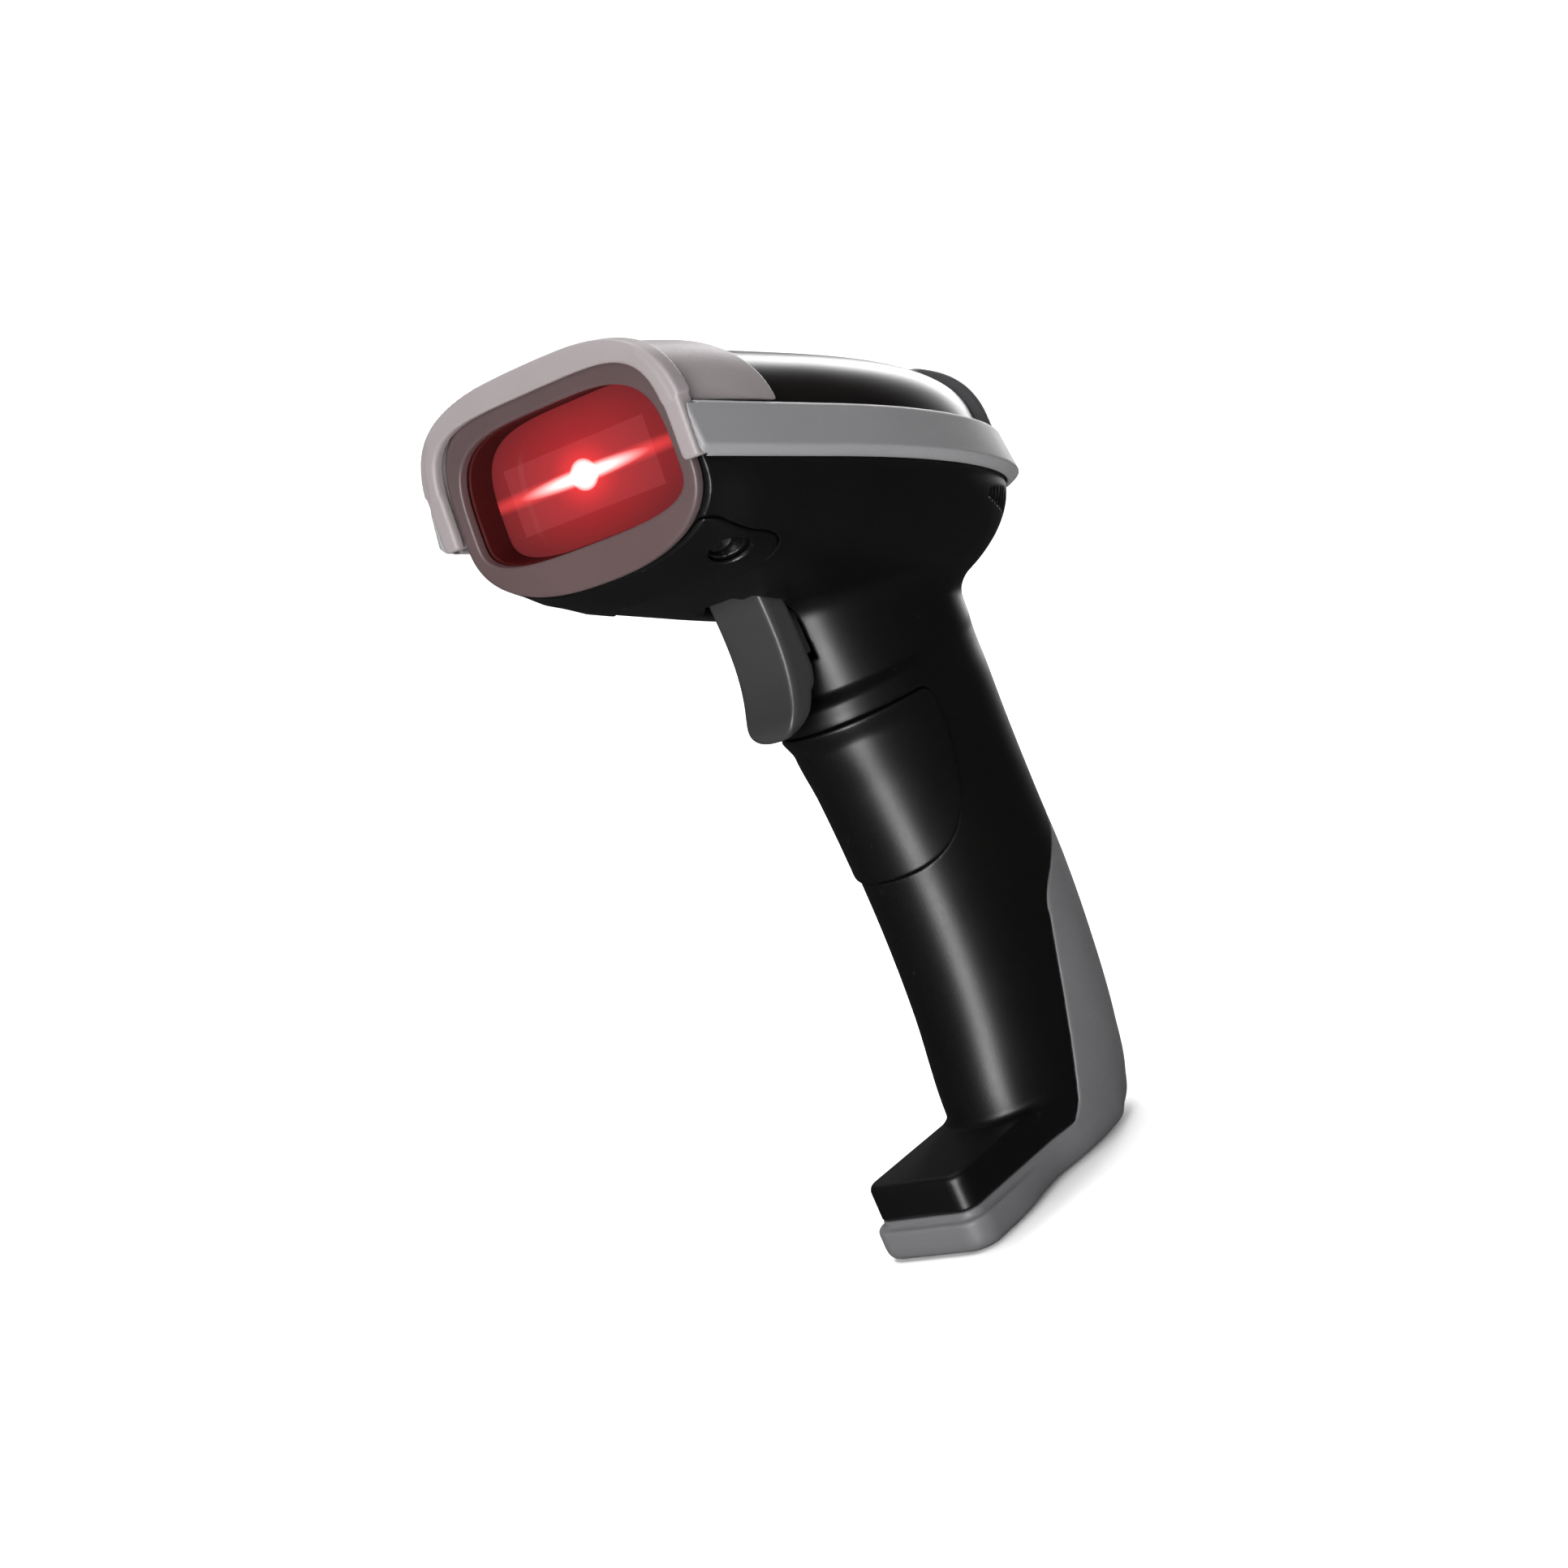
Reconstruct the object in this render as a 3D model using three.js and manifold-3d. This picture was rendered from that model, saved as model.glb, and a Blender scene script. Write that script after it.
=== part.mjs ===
// Handheld barcode scanner: a wide head on a pistol handle with a flat foot.
//
// Row frame: millimetres, +Z up, the scanner looks along -Y, +X is its own left side.
// The origin is under the middle of the object, on the plane that the foot's sole rests on.
//
// Head frame: the head is tilted nose-up, so its parts are modelled level in a tilted group.
// In it y runs back from the face and z is square to the belt round the head.
// Face frame: the window's face leans a little, so the pieces round it have a group of their own.

import * as THREE from 'three';
import { mergeVertices } from 'three/addons/utils/BufferGeometryUtils.js';
import Module from 'manifold-3d';

// ---------------------------------------------------------------- driving dimensions

const HEAD_ORIGIN = [0, -53.4, 147.3];   // midpoint between the tips of the nose bumper's arms
const HEAD_TILT = 17.5;                // nose-up angle of the head, degrees
const FACE_LEAN = 5.7;                 // backward lean of the window's face in the row frame, degrees

const GAP = 0.3;                       // clearance between neighbouring pieces
const CLEARANCE = 0.5;                 // beside the moving trigger
const WALL = 1.8;                      // wall of the black mouldings

// Head, in the head frame. The plan is straight-sided up to BEND_Y and then closes as half an ellipse.
const BEND_Y = 35;
const DOME = { halfWidth: 30.7, frontHalfWidth: 29.4, rearRun: 70.2, crown: 23.4, frontDrop: 0.8, power: 3.4 };
const BOWL = { halfWidth: 31.2, frontHalfWidth: 28.8, rearRun: 73.6, frontDepth: 14.2, frontLift: 2.1 };
const BELT = { low: -0.1, crease: 1.4, top: 9.3, front: 0.4 };
const BELT_TOP = { halfWidth: 32.6, rearRun: 73.4 };
const BELT_CREASE = { halfWidth: 33.8, rearRun: 77.2 };
const SEAM_Z = 4.0;                    // the shells meet behind the belt at this height
const NOSE_PROUD = 1.4;
const NOSE_EDGE_Y = 23;                // the nose bumper's rear edge beside the belt
const COVER_END_Y = 82;                // the top cover's rear edge at the middle
const CAP_PROUD = 2.2;

// Face, in the face frame.
const RIM = {
  halfWidth: 32.9, up: 24.0, power: 3.6, innerHalfWidth: 28.4, innerUp: 19.9, innerPower: 4.6, depth: 3.2,
  armHalfWidth: 32.1, armTop: 9.9,
};
const BEZEL = { front: 2.0, back: 4.0, halfWidth: 28.6, up: 21.4, down: 14.1, upPower: 3.8, downPower: 2.4 };
const WINDOW = { halfWidth: 25.6, up: 16.9, down: 7.2, upPower: 3.8, downPower: 3.3, y: 10.0, thickness: 1.5 };

// Handle, in the row frame: height, front, back and half width of its sections.
const HANDLE_POWER = 2.3;
const HANDLE_SECTIONS = [
  { z: 7.9, front: -21.6, back: 18.8, half: 13.0 },
  { z: 18, front: -21.2, back: 21.4, half: 13.9 },
  { z: 35, front: -18.0, back: 24.2, half: 14.3 },
  { z: 49, front: -16.9, back: 25.3, half: 14.5 },
  { z: 64, front: -16.9, back: 25.3, half: 14.5 },
  { z: 79, front: -17.8, back: 25.8, half: 14.5 },
  { z: 90, front: -19.2, back: 26.5, half: 14.7 },
  { z: 93, front: -21.0, back: 26.8, half: 15.3 },
  { z: 95.5, front: -21.0, back: 27.1, half: 15.4 },
  { z: 98.5, front: -18.0, back: 27.5, half: 14.2 },
  { z: 105, front: -16.8, back: 28.6, half: 13.8 },
  { z: 114, front: -17.4, back: 33.0, half: 14.6 },
  { z: 122, front: -19.0, back: 38.0, half: 16.5 },
];

const FOOT = { half: 11.4, front: -42.8, back: 8, cornerRadius: 3.4, top: 14.5, split: 7.6 };
const SOLE = { flatBack: -3 };
const EDGE_STEPS = [[0, 3.2], [1.2, 1.3], [3.4, 0]];   // height and inset of the sole's rounded edge
const FOOT_WALL = 1.8;
const BUMPER = { top: 48.5, skin: 2.4, frontLip: 1.6, floor: 2.6 };
const PORT = { y: -28, width: 9, depth: 3.3, top: 8.4, bottom: 1.2 };

const PANEL = { low: 61.6, high: 92.4, proud: 0.7, rear: -1.6 };
const CHIN = { front: 3, back: 24.4, halfWidth: 25.2, tongue: 14.5, proud: 0.3, depth: 0.7 };
const CHIN_SCREW = { seat: 2.2, bore: 1.5, well: 2.9, bossRadius: 3.7, bossTop: 6.4 };
const VENTS = { perSide: 14, pitch: 2.15, tallest: 5.0, width: 0.8, z: -4.1, turnY: 47 };
const SCREW_RECESS = { x: 19.8, y: 15.2, drop: 11.8, lean: 38, radius: 3.4 };

const APERTURE = { y: 13.3, halfWidth: 17.8, low: -2.5, high: 9.5, middle: 3.5 };

const TRIGGER = { half: 6.6, pivotY: -17.5, pivotZ: 123.8, pinRadius: 1.25 };
const STEM_HALF = 4.2;      // the blade behind the trigger's finger face
const STEM_FRONT = -20.3;
const STEM_BACK = -15.2;

const ROUND = 24;                      // facets round a small cylinder

// ---------------------------------------------------------------- finishes

function finish(color, roughness, metalness = 0) {
  return { color, roughness, metalness };
}

const BLACK_SATIN = finish(0x17181a, 0.42);
const BLACK_GLOSS = finish(0x111214, 0.28);
const SOFT_GREY = finish(0x86868a, 0.72);
const NOSE_GREY = finish(0xa9a2a4, 0.7);
const BEZEL_GREY = finish(0x5d5558, 0.65);
const COLLAR_GREY = finish(0x3a3a3d, 0.5);
const TRIGGER_GREY = finish(0x454648, 0.55);
const WINDOW_RED = finish(0x7a0a10, 0.08);
const TUNNEL_BLACK = finish(0x160607, 0.6);
const RUBBER_BLACK = finish(0x101010, 0.85);
const STEEL = finish(0xb9bcc0, 0.3, 1);
const BOARD_GREEN = finish(0x1c5a36, 0.55);
const CHIP_BLACK = finish(0x1b1b1d, 0.5);
const LENS_GLASS = finish(0x223044, 0.05);
const LED_RED = finish(0xff2a1a, 0.3);
const LED_WHITE = finish(0xf2efe0, 0.3);
const BATTERY_BLUE = finish(0x2f5f9e, 0.45);
const HOLDER_BLACK = finish(0x222326, 0.6);
const CABLE_AMBER = finish(0xb5742a, 0.45);

// ---------------------------------------------------------------- solids

const wasm = await Module();
wasm.setup();

// Turns a closed three.js geometry into a solid, with its faces pointing out.
function solid(geometry, matrix = null) {
  const source = geometry.clone();
  source.deleteAttribute('normal');
  source.deleteAttribute('uv');
  if (matrix) source.applyMatrix4(matrix);
  const merged = mergeVertices(source, 1e-4);
  return new wasm.Manifold(new wasm.Mesh({
    numProp: 3,
    vertProperties: new Float32Array(merged.attributes.position.array),
    triVerts: new Uint32Array(merged.index.array),
  }));
}

function join(...parts) {
  return parts.reduce((whole, part) => whole.add(part));
}

function cut(body, ...tools) {
  return tools.reduce((left, tool) => left.subtract(tool), body);
}

function common(first, second) {
  return first.intersect(second);
}

function toGeometry(body) {
  const mesh = body.getMesh();
  const geometry = new THREE.BufferGeometry();
  const positions = new Float32Array(mesh.numVert * 3);
  for (let i = 0; i < mesh.numVert; i += 1) {
    for (let k = 0; k < 3; k += 1) {
      positions[3 * i + k] = mesh.vertProperties[mesh.numProp * i + k];
    }
  }
  geometry.setAttribute('position', new THREE.BufferAttribute(positions, 3));
  geometry.setIndex(new THREE.BufferAttribute(new Uint32Array(mesh.triVerts), 1));
  geometry.computeVertexNormals();
  return geometry;
}

function signedVolume(points, faces) {
  let volume = 0;
  for (let i = 0; i < faces.length; i += 3) {
    const [a, b, c] = faces.slice(i, i + 3).map((index) => points[index]);
    volume += a.dot(new THREE.Vector3().crossVectors(b, c)) / 6;
  }
  return volume;
}

// Skins a row of rings that hold the same number of points, and closes both ends.
function loft(rings) {
  const count = rings[0].length;
  const points = rings.flat();
  const faces = [];
  for (let r = 0; r + 1 < rings.length; r += 1) {
    for (let i = 0; i < count; i += 1) {
      const a = r * count + i;
      const b = r * count + ((i + 1) % count);
      faces.push(a, b, b + count, a, b + count, a + count);
    }
  }
  const ends = [[0, true], [rings.length - 1, false]];
  for (const [ring, flip] of ends) {
    const centre = new THREE.Vector3();
    rings[ring].forEach((point) => centre.addScaledVector(point, 1 / count));
    const hub = points.push(centre) - 1;
    for (let i = 0; i < count; i += 1) {
      const a = ring * count + i;
      const b = ring * count + ((i + 1) % count);
      faces.push(...(flip ? [hub, b, a] : [hub, a, b]));
    }
  }
  const geometry = new THREE.BufferGeometry().setFromPoints(points);
  geometry.setIndex(signedVolume(points, faces) > 0 ? faces : faces.reverse());
  return geometry;
}

function box(size, centre) {
  return new THREE.BoxGeometry(...size).translate(...centre);
}

// A cylinder whose axis runs along x, y or z.
function rod(axis, radius, length, centre, facets = ROUND) {
  const geometry = new THREE.CylinderGeometry(radius, radius, length, facets);
  if (axis === 'x') geometry.rotateZ(Math.PI / 2);
  if (axis === 'z') geometry.rotateX(Math.PI / 2);
  return geometry.translate(...centre);
}

function shapeFrom(points) {
  return new THREE.Shape(points.map(([u, v]) => new THREE.Vector2(u, v)));
}

function extruded(shape, depth, segments = 6) {
  return new THREE.ExtrudeGeometry(shape, { depth, bevelEnabled: false, steps: 1, curveSegments: segments });
}

// An outline in x and z, extruded along y from y0 to y1.
function plate(shape, y0, y1) {
  return extruded(shape, y1 - y0).rotateX(Math.PI / 2).translate(0, y1, 0);
}

// An outline in x and y, extruded upwards from z0 to z1.
function slab(shape, z0, z1) {
  return extruded(shape, z1 - z0).translate(0, 0, z0);
}

// A side view in y and z, extruded along x from x0 to x1.
function sideways(shape, x0, x1) {
  const turn = new THREE.Matrix4().makeBasis(
    new THREE.Vector3(0, 1, 0),
    new THREE.Vector3(0, 0, 1),
    new THREE.Vector3(1, 0, 0),
  );
  return extruded(shape, x1 - x0).applyMatrix4(turn).translate(x0, 0, 0);
}

function roundedCorners(x0, y0, x1, y1, radius, steps = 5) {
  const corners = [[x1, y0, -90], [x1, y1, 0], [x0, y1, 90], [x0, y0, 180]];
  return corners.flatMap(([x, y, start]) => {
    const centreX = x - Math.sign(x - (x0 + x1) / 2) * radius;
    const centreY = y - Math.sign(y - (y0 + y1) / 2) * radius;
    return Array.from({ length: steps + 1 }, (_, i) => {
      const angle = THREE.MathUtils.degToRad(start + (90 * i) / steps);
      return [centreX + radius * Math.cos(angle), centreY + radius * Math.sin(angle)];
    });
  });
}

function roundedRectangle(...sizes) {
  return shapeFrom(roundedCorners(...sizes));
}

// A closed superellipse: half width a, reach up and down, and a power for each half.
function egg(a, up, down, upPower, downPower, count = 40) {
  const points = [];
  for (let i = 0; i < count; i += 1) {
    const angle = (2 * Math.PI * (i + 0.5)) / count;
    const c = Math.cos(angle);
    const s = Math.sin(angle);
    const power = s > 0 ? upPower : downPower;
    const reach = s > 0 ? up : down;
    points.push([
      a * Math.sign(c) * Math.abs(c) ** (2 / power),
      reach * Math.sign(s) * Math.abs(s) ** (2 / power),
    ]);
  }
  return points;
}

// ---------------------------------------------------------------- frames

const radians = THREE.MathUtils.degToRad;

const headToRow = new THREE.Matrix4()
  .makeRotationX(-radians(HEAD_TILT))
  .setPosition(...HEAD_ORIGIN);
const faceToHead = new THREE.Matrix4().makeRotationX(radians(HEAD_TILT - FACE_LEAN));

// Removes everything in front of a plane parallel to the face, y behind it.
function faceCutter(y, frame) {
  return solid(box([120, 60, 160], [0, y - 30, 0]), frame);
}

// ---------------------------------------------------------------- head surfaces (head frame)

const smooth = (t) => {
  const s = THREE.MathUtils.clamp(t, 0, 1);
  return s * s * (3 - 2 * s);
};

function crownHeight(y) {
  const t = THREE.MathUtils.clamp((y + 5) / 20, 0, 1);
  return DOME.crown - DOME.frontDrop * (1 - t) ** 2;
}

// The bowl's depth: lifted at the very front, where it meets the bezel, and deepest towards the rear.
function bowlDepth(y) {
  const back = Math.max(0, y - 30);
  const lift = BOWL.frontLift * (1 - smooth((y - 6) / 11));
  return BOWL.frontDepth - lift + 0.13 * Math.max(0, y) + 0.0011 * back * back;
}

// Stations along the head: straight ones first, then ones bunched towards the closed rear end.
function headStations(rearRun) {
  const straight = [-14, -4, 3, 7.5, 12, 17, 28].map((y) => ({ y, turn: 0 }));
  const bend = [0, 14, 28, 41, 53, 64, 74, 82, 87.5].map((degrees) => {
    const turn = radians(degrees);
    return { y: BEND_Y + rearRun * Math.sin(turn), turn };
  });
  return [...straight, ...bend];
}

function headRing(y, halfWidth, up, down, upPower, downPower, count) {
  return egg(halfWidth, up, down, upPower, downPower, count).map(([x, z]) => new THREE.Vector3(x, y, z));
}

// The dome over the head, grown outwards by some amount.
function dome(grow, count = 36) {
  const rings = headStations(DOME.rearRun + grow).map(({ y, turn }) => {
    const widen = smooth((y + 2) / 18);
    const width = THREE.MathUtils.lerp(DOME.frontHalfWidth, DOME.halfWidth, widen) + grow;
    const close = (1 - Math.sin(turn) ** DOME.power) ** (1 / DOME.power);
    return headRing(y, width * Math.cos(turn), (crownHeight(y) + grow) * close, 6 * close + 0.2, DOME.power, 2.4, count);
  });
  return solid(loft(rings));
}

// The bowl under the head.
function bowl(grow, count = 36) {
  const rings = headStations(BOWL.rearRun + grow).map(({ y, turn }) => {
    const widen = smooth(y / 16);
    const width = THREE.MathUtils.lerp(BOWL.frontHalfWidth, BOWL.halfWidth, widen) + grow;
    const power = THREE.MathUtils.lerp(2.4, 1.85, smooth((y - 15) / 60));
    const close = (1 - Math.sin(turn) ** 1.85) ** (1 / 1.85);
    const depth = (bowlDepth(Math.min(y, 88)) + grow) * close;
    return headRing(y, width * Math.cos(turn), 12 * close + 0.2, depth, 6, power, count);
  });
  return solid(loft(rings));
}

function headSlab(z0, z1) {
  return solid(box([140, 260, z1 - z0], [0, 60, (z0 + z1) / 2]));
}

// ---------------------------------------------------------------- nose bumper, belt, covers (head frame)

// The nose bumper's rear edge sweeps forwards over the crown.
function noseRegion(margin) {
  const shape = new THREE.Shape();
  const edge = NOSE_EDGE_Y + margin;
  shape.moveTo(-40, -30);
  shape.lineTo(40, -30);
  shape.lineTo(40, edge);
  shape.lineTo(32, edge);
  shape.quadraticCurveTo(29, edge - 4, 22, edge - 8.5);
  shape.quadraticCurveTo(12, edge - 13, 0, edge - 13);
  shape.quadraticCurveTo(-12, edge - 13, -22, edge - 8.5);
  shape.quadraticCurveTo(-29, edge - 4, -32, edge);
  shape.lineTo(-40, edge);
  return solid(slab(shape, -40, 60));
}

// The rim round the face: an upside-down U whose arms stop at the head's origin.
function noseRim(grow) {
  const outline = egg(RIM.halfWidth, RIM.up, RIM.up, RIM.power, RIM.power, 56);
  const armLimit = RIM.armHalfWidth + grow;
  const trimmed = outline.map(([x, z]) => {
    const limit = z < RIM.armTop ? armLimit : RIM.halfWidth;
    return [Math.sign(x) * Math.min(Math.abs(x), limit), z];
  });
  return cut(
    solid(plate(shapeFrom(trimmed), -grow, RIM.depth + grow), faceToHead),
    solid(box([90, 40, 60], [0, 0, -30.1 - grow]), faceToHead),
  );
}

function noseBumper() {
  const holeShape = shapeFrom(egg(RIM.innerHalfWidth, RIM.innerUp, RIM.innerUp, RIM.innerPower, RIM.innerPower, 48));
  const backHole = shapeFrom(egg(BEZEL.halfWidth + GAP, BEZEL.up + GAP, BEZEL.down, BEZEL.upPower, BEZEL.downPower, 48));
  const hood = cut(
    common(common(dome(NOSE_PROUD), noseRegion(0)), headSlab(BELT.top + GAP, 60)),
    faceCutter(0, faceToHead),
  );
  return cut(
    join(noseRim(0), hood),
    solid(plate(holeShape, -10, BEZEL.front), faceToHead),
    solid(plate(backHole, BEZEL.front - 0.1, 12), faceToHead),
    cut(dome(GAP), faceCutter(BEZEL.back, faceToHead)),
  );
}

function beltRing(z, halfWidth, rearRun, side = 26) {
  const ring = [];
  const front = -6;
  for (let i = 0; i <= side; i += 1) {
    const angle = Math.PI * (i / side);
    ring.push(new THREE.Vector3(halfWidth * Math.cos(angle), BEND_Y + rearRun * Math.sin(angle), z));
  }
  ring.push(new THREE.Vector3(-halfWidth, front, z));
  ring.push(new THREE.Vector3(halfWidth, front, z));
  return ring;
}

function headBelt() {
  const outer = solid(loft([
    beltRing(BELT.low, BOWL.halfWidth + GAP + 0.9, BOWL.rearRun + 1.2),
    beltRing(BELT.crease, BELT_CREASE.halfWidth, BELT_CREASE.rearRun),
    beltRing(BELT.top - 0.7, BELT_TOP.halfWidth + 0.1, BELT_TOP.rearRun + 0.3),
    beltRing(BELT.top, BELT_TOP.halfWidth - 0.5, BELT_TOP.rearRun - 0.9),
  ]));
  const core = join(
    solid(loft([
      beltRing(BELT.low - 2, BOWL.halfWidth + GAP, BOWL.rearRun + GAP),
      beltRing(SEAM_Z + 0.2, BOWL.halfWidth + GAP, BOWL.rearRun + GAP),
    ])),
    solid(loft([
      beltRing(SEAM_Z, DOME.halfWidth + GAP, DOME.rearRun + GAP),
      beltRing(BELT.top + 2, DOME.halfWidth + GAP, DOME.rearRun + GAP),
    ])),
  );
  return cut(outer, core, faceCutter(BELT.front, faceToHead), noseRim(GAP));
}

// The space of the top cover, seen from above: its rear edge reaches round a rounded tail cap.
function coverRegion(margin) {
  const shape = new THREE.Shape();
  const end = COVER_END_Y - margin;
  const side = 0.6 * margin;
  shape.moveTo(-45, -30);
  shape.lineTo(45, -30);
  shape.lineTo(45, end + 14);
  shape.lineTo(19.5 + side, end + 11);
  shape.quadraticCurveTo(15.5 + side, end + 5.5, 12 + side, end + 2);
  shape.quadraticCurveTo(6, end, 0, end);
  shape.quadraticCurveTo(-6, end, -12 - side, end + 2);
  shape.quadraticCurveTo(-15.5 - side, end + 5.5, -19.5 - side, end + 11);
  shape.lineTo(-45, end + 14);
  return solid(slab(shape, -40, 60));
}

function upperShell() {
  return cut(
    common(dome(0), headSlab(SEAM_Z + GAP / 2, 60)),
    dome(-WALL, 24),
    faceCutter(BEZEL.back + GAP, faceToHead),
  );
}

function topCover() {
  return common(upperShell(), coverRegion(0));
}

function rearCap() {
  const tail = common(dome(0), headSlab(SEAM_Z + GAP / 2, 60));
  const crest = common(dome(CAP_PROUD), headSlab(BELT.top + GAP, 60));
  return cut(join(tail, crest), dome(-WALL, 24), coverRegion(-GAP));
}

// ---------------------------------------------------------------- face pieces (face frame)

function bezelRing() {
  const outline = shapeFrom(egg(BEZEL.halfWidth, BEZEL.up, BEZEL.down, BEZEL.upPower, BEZEL.downPower, 56));
  const opening = shapeFrom(egg(WINDOW.halfWidth, WINDOW.up, WINDOW.down, WINDOW.upPower, WINDOW.downPower, 48));
  return cut(
    solid(plate(outline, BEZEL.front, BEZEL.back)),
    solid(plate(opening, BEZEL.front - 1, BEZEL.back + 1)),
  );
}

function windowTunnel() {
  const wall = 0.7;
  const outline = shapeFrom(egg(WINDOW.halfWidth + wall, WINDOW.up + wall, WINDOW.down + wall, WINDOW.upPower, WINDOW.downPower, 48));
  const bore = shapeFrom(egg(WINDOW.halfWidth - 0.2, WINDOW.up - 0.2, WINDOW.down - 0.2, WINDOW.upPower, WINDOW.downPower, 48));
  return cut(
    solid(plate(outline, BEZEL.back + GAP, WINDOW.y - GAP)),
    solid(plate(bore, BEZEL.back - 1, WINDOW.y + 1)),
  );
}

function scanWindow() {
  const outline = shapeFrom(egg(WINDOW.halfWidth + 0.7, WINDOW.up + 0.7, WINDOW.down + 0.7, WINDOW.upPower, WINDOW.downPower, 48));
  return solid(plate(outline, WINDOW.y, WINDOW.y + WINDOW.thickness));
}

function windowGasket() {
  const front = WINDOW.y + WINDOW.thickness + GAP;
  const outline = shapeFrom(egg(WINDOW.halfWidth + 0.7, WINDOW.up + 0.7, WINDOW.down + 0.7, WINDOW.upPower, WINDOW.downPower, 40));
  const bore = shapeFrom(egg(WINDOW.halfWidth - 2, WINDOW.up - 2, WINDOW.down - 2, WINDOW.upPower, WINDOW.downPower, 40));
  return cut(
    solid(plate(outline, front, front + 1.2)),
    solid(plate(bore, front - 1, front + 3)),
  );
}

// ---------------------------------------------------------------- handle, neck and foot (row frame)

function handleRing(section, inset, count) {
  const middle = (section.front + section.back) / 2;
  const reach = (section.back - section.front) / 2 - inset;
  const outline = egg(section.half - inset, reach, reach, HANDLE_POWER, HANDLE_POWER, count);
  return outline.map(([x, y]) => new THREE.Vector3(x, y + middle, section.z));
}

function handle(inset, sections = HANDLE_SECTIONS, count = 32) {
  return solid(loft(sections.map((section) => handleRing(section, inset, count))));
}

// The outline of the foot's plate, seen from above.
function footRing(z, grow) {
  const { half, front, back, cornerRadius } = FOOT;
  const outline = roundedCorners(-half - grow, front - grow, half + grow, back + grow, cornerRadius + grow);
  return outline.map(([x, y]) => new THREE.Vector3(x, y, z));
}

// The foot, with the sole's edge rounded by a few steps.
function footBlock(top, grow) {
  const edge = EDGE_STEPS.map(([z, inset]) => footRing(z, grow - inset));
  return solid(loft([...edge, footRing(top, grow)]));
}

// The space taken by the grey bumper: under the foot and up the back of the handle.
function bumperRegion(margin) {
  const shape = new THREE.Shape();
  const edge = (y) => y + margin;
  shape.moveTo(-60, -5);
  shape.lineTo(60, -5);
  shape.lineTo(60, BUMPER.top + 20);
  shape.lineTo(edge(22), BUMPER.top + 10 - margin);
  shape.lineTo(edge(8.4), BUMPER.top);
  shape.quadraticCurveTo(edge(5.2), BUMPER.top - 2.5, edge(5.0), BUMPER.top - 5.5);
  shape.lineTo(edge(-5.5), FOOT.split + 5);
  shape.quadraticCurveTo(-7, FOOT.split - margin, -12, FOOT.split - margin);
  shape.lineTo(-60, FOOT.split - margin);
  return solid(sideways(shape, -40, 40));
}

// Handle, heel and foot together, before the bumper is taken out of them.
function lowerBody() {
  const heel = EDGE_STEPS.map(([z, inset]) => ({
    z,
    front: -21,
    back: 14.8 - 1.6 * inset + 0.4 * z,
    half: 12.5 - inset,
  }));
  return join(handle(0, [...heel, ...HANDLE_SECTIONS]), footBlock(FOOT.top, 0));
}

// The space below the sole, which is flat as far as the heel and rises there.
function underSole() {
  const shape = new THREE.Shape();
  shape.moveTo(-60, -20);
  shape.lineTo(60, -20);
  shape.lineTo(60, 20);
  shape.lineTo(16, 3.6);
  shape.quadraticCurveTo(10, 0.4, SOLE.flatBack, 0);
  shape.lineTo(-60, 0);
  return solid(sideways(shape, -60, 60));
}

// The hollow in the handle is narrower where the bumper's skin wraps it.
function handleCavity() {
  const lower = handle(WALL + BUMPER.skin, [
    { z: FOOT.split + 2.6, front: -20.8, back: 19.6, half: 13.4 },
    ...HANDLE_SECTIONS.slice(1, 5),
  ], 20);
  const upper = handle(WALL, [
    { z: 58, front: -16.4, back: 25.7, half: 14.5 },
    ...HANDLE_SECTIONS.slice(4, -1).filter(({ z }) => z < 91 || z > 97),
  ], 20);
  return join(lower, upper);
}

function triggerSlot() {
  const wide = shapeFrom([[-30, 116], [-21, 116], [-18.5, 118.5], [-12.6, 119.5], [-12.6, 127], [-21, 127], [-26.2, 122]]);
  const narrow = shapeFrom([[-30, 104.6], [-12.2, 104.6], [-12.2, 122], [-30, 122]]);
  return join(
    solid(sideways(wide, -TRIGGER.half - CLEARANCE, TRIGGER.half + CLEARANCE)),
    solid(sideways(narrow, -STEM_HALF - CLEARANCE, STEM_HALF + CLEARANCE)),
  );
}

// The finger-grip panel wraps the handle's front: this is its region seen from the side.
function panelRegion(margin) {
  const shape = new THREE.Shape();
  const rear = PANEL.rear - margin;
  shape.moveTo(-40, PANEL.high - margin);
  shape.lineTo(rear - 3.5, PANEL.high - margin);
  shape.quadraticCurveTo(rear, PANEL.high - margin, rear, PANEL.high - 5);
  shape.bezierCurveTo(rear, 74, -6, PANEL.low + margin, -20, PANEL.low + margin);
  shape.lineTo(-40, PANEL.low + margin);
  return solid(sideways(shape, -30, 30));
}

function gripSkin(outset, inset) {
  const sections = HANDLE_SECTIONS.slice(2, 8);
  return cut(handle(-outset, sections), handle(inset, sections));
}

function gripPanel() {
  return common(gripSkin(PANEL.proud, 1.1), panelRegion(GAP));
}

// The chin panel lies under the front of the bowl, its edge is a shallow arc.
function chinRegion(margin) {
  const half = CHIN.halfWidth - margin;
  const back = CHIN.back - margin;
  const tongue = CHIN.tongue - margin;
  const shape = new THREE.Shape();
  shape.moveTo(-half, CHIN.front);
  shape.lineTo(half, CHIN.front);
  shape.lineTo(half, back - 5);
  shape.quadraticCurveTo(half, back, half - 4, back);
  shape.bezierCurveTo(half - 10, back + 1, 13, tongue, 0, tongue);
  shape.bezierCurveTo(-13, tongue, -half + 10, back + 1, -half + 4, back);
  shape.quadraticCurveTo(-half, back, -half, back - 5);
  return solid(slab(shape, -40, -8.5 - margin));
}

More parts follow.
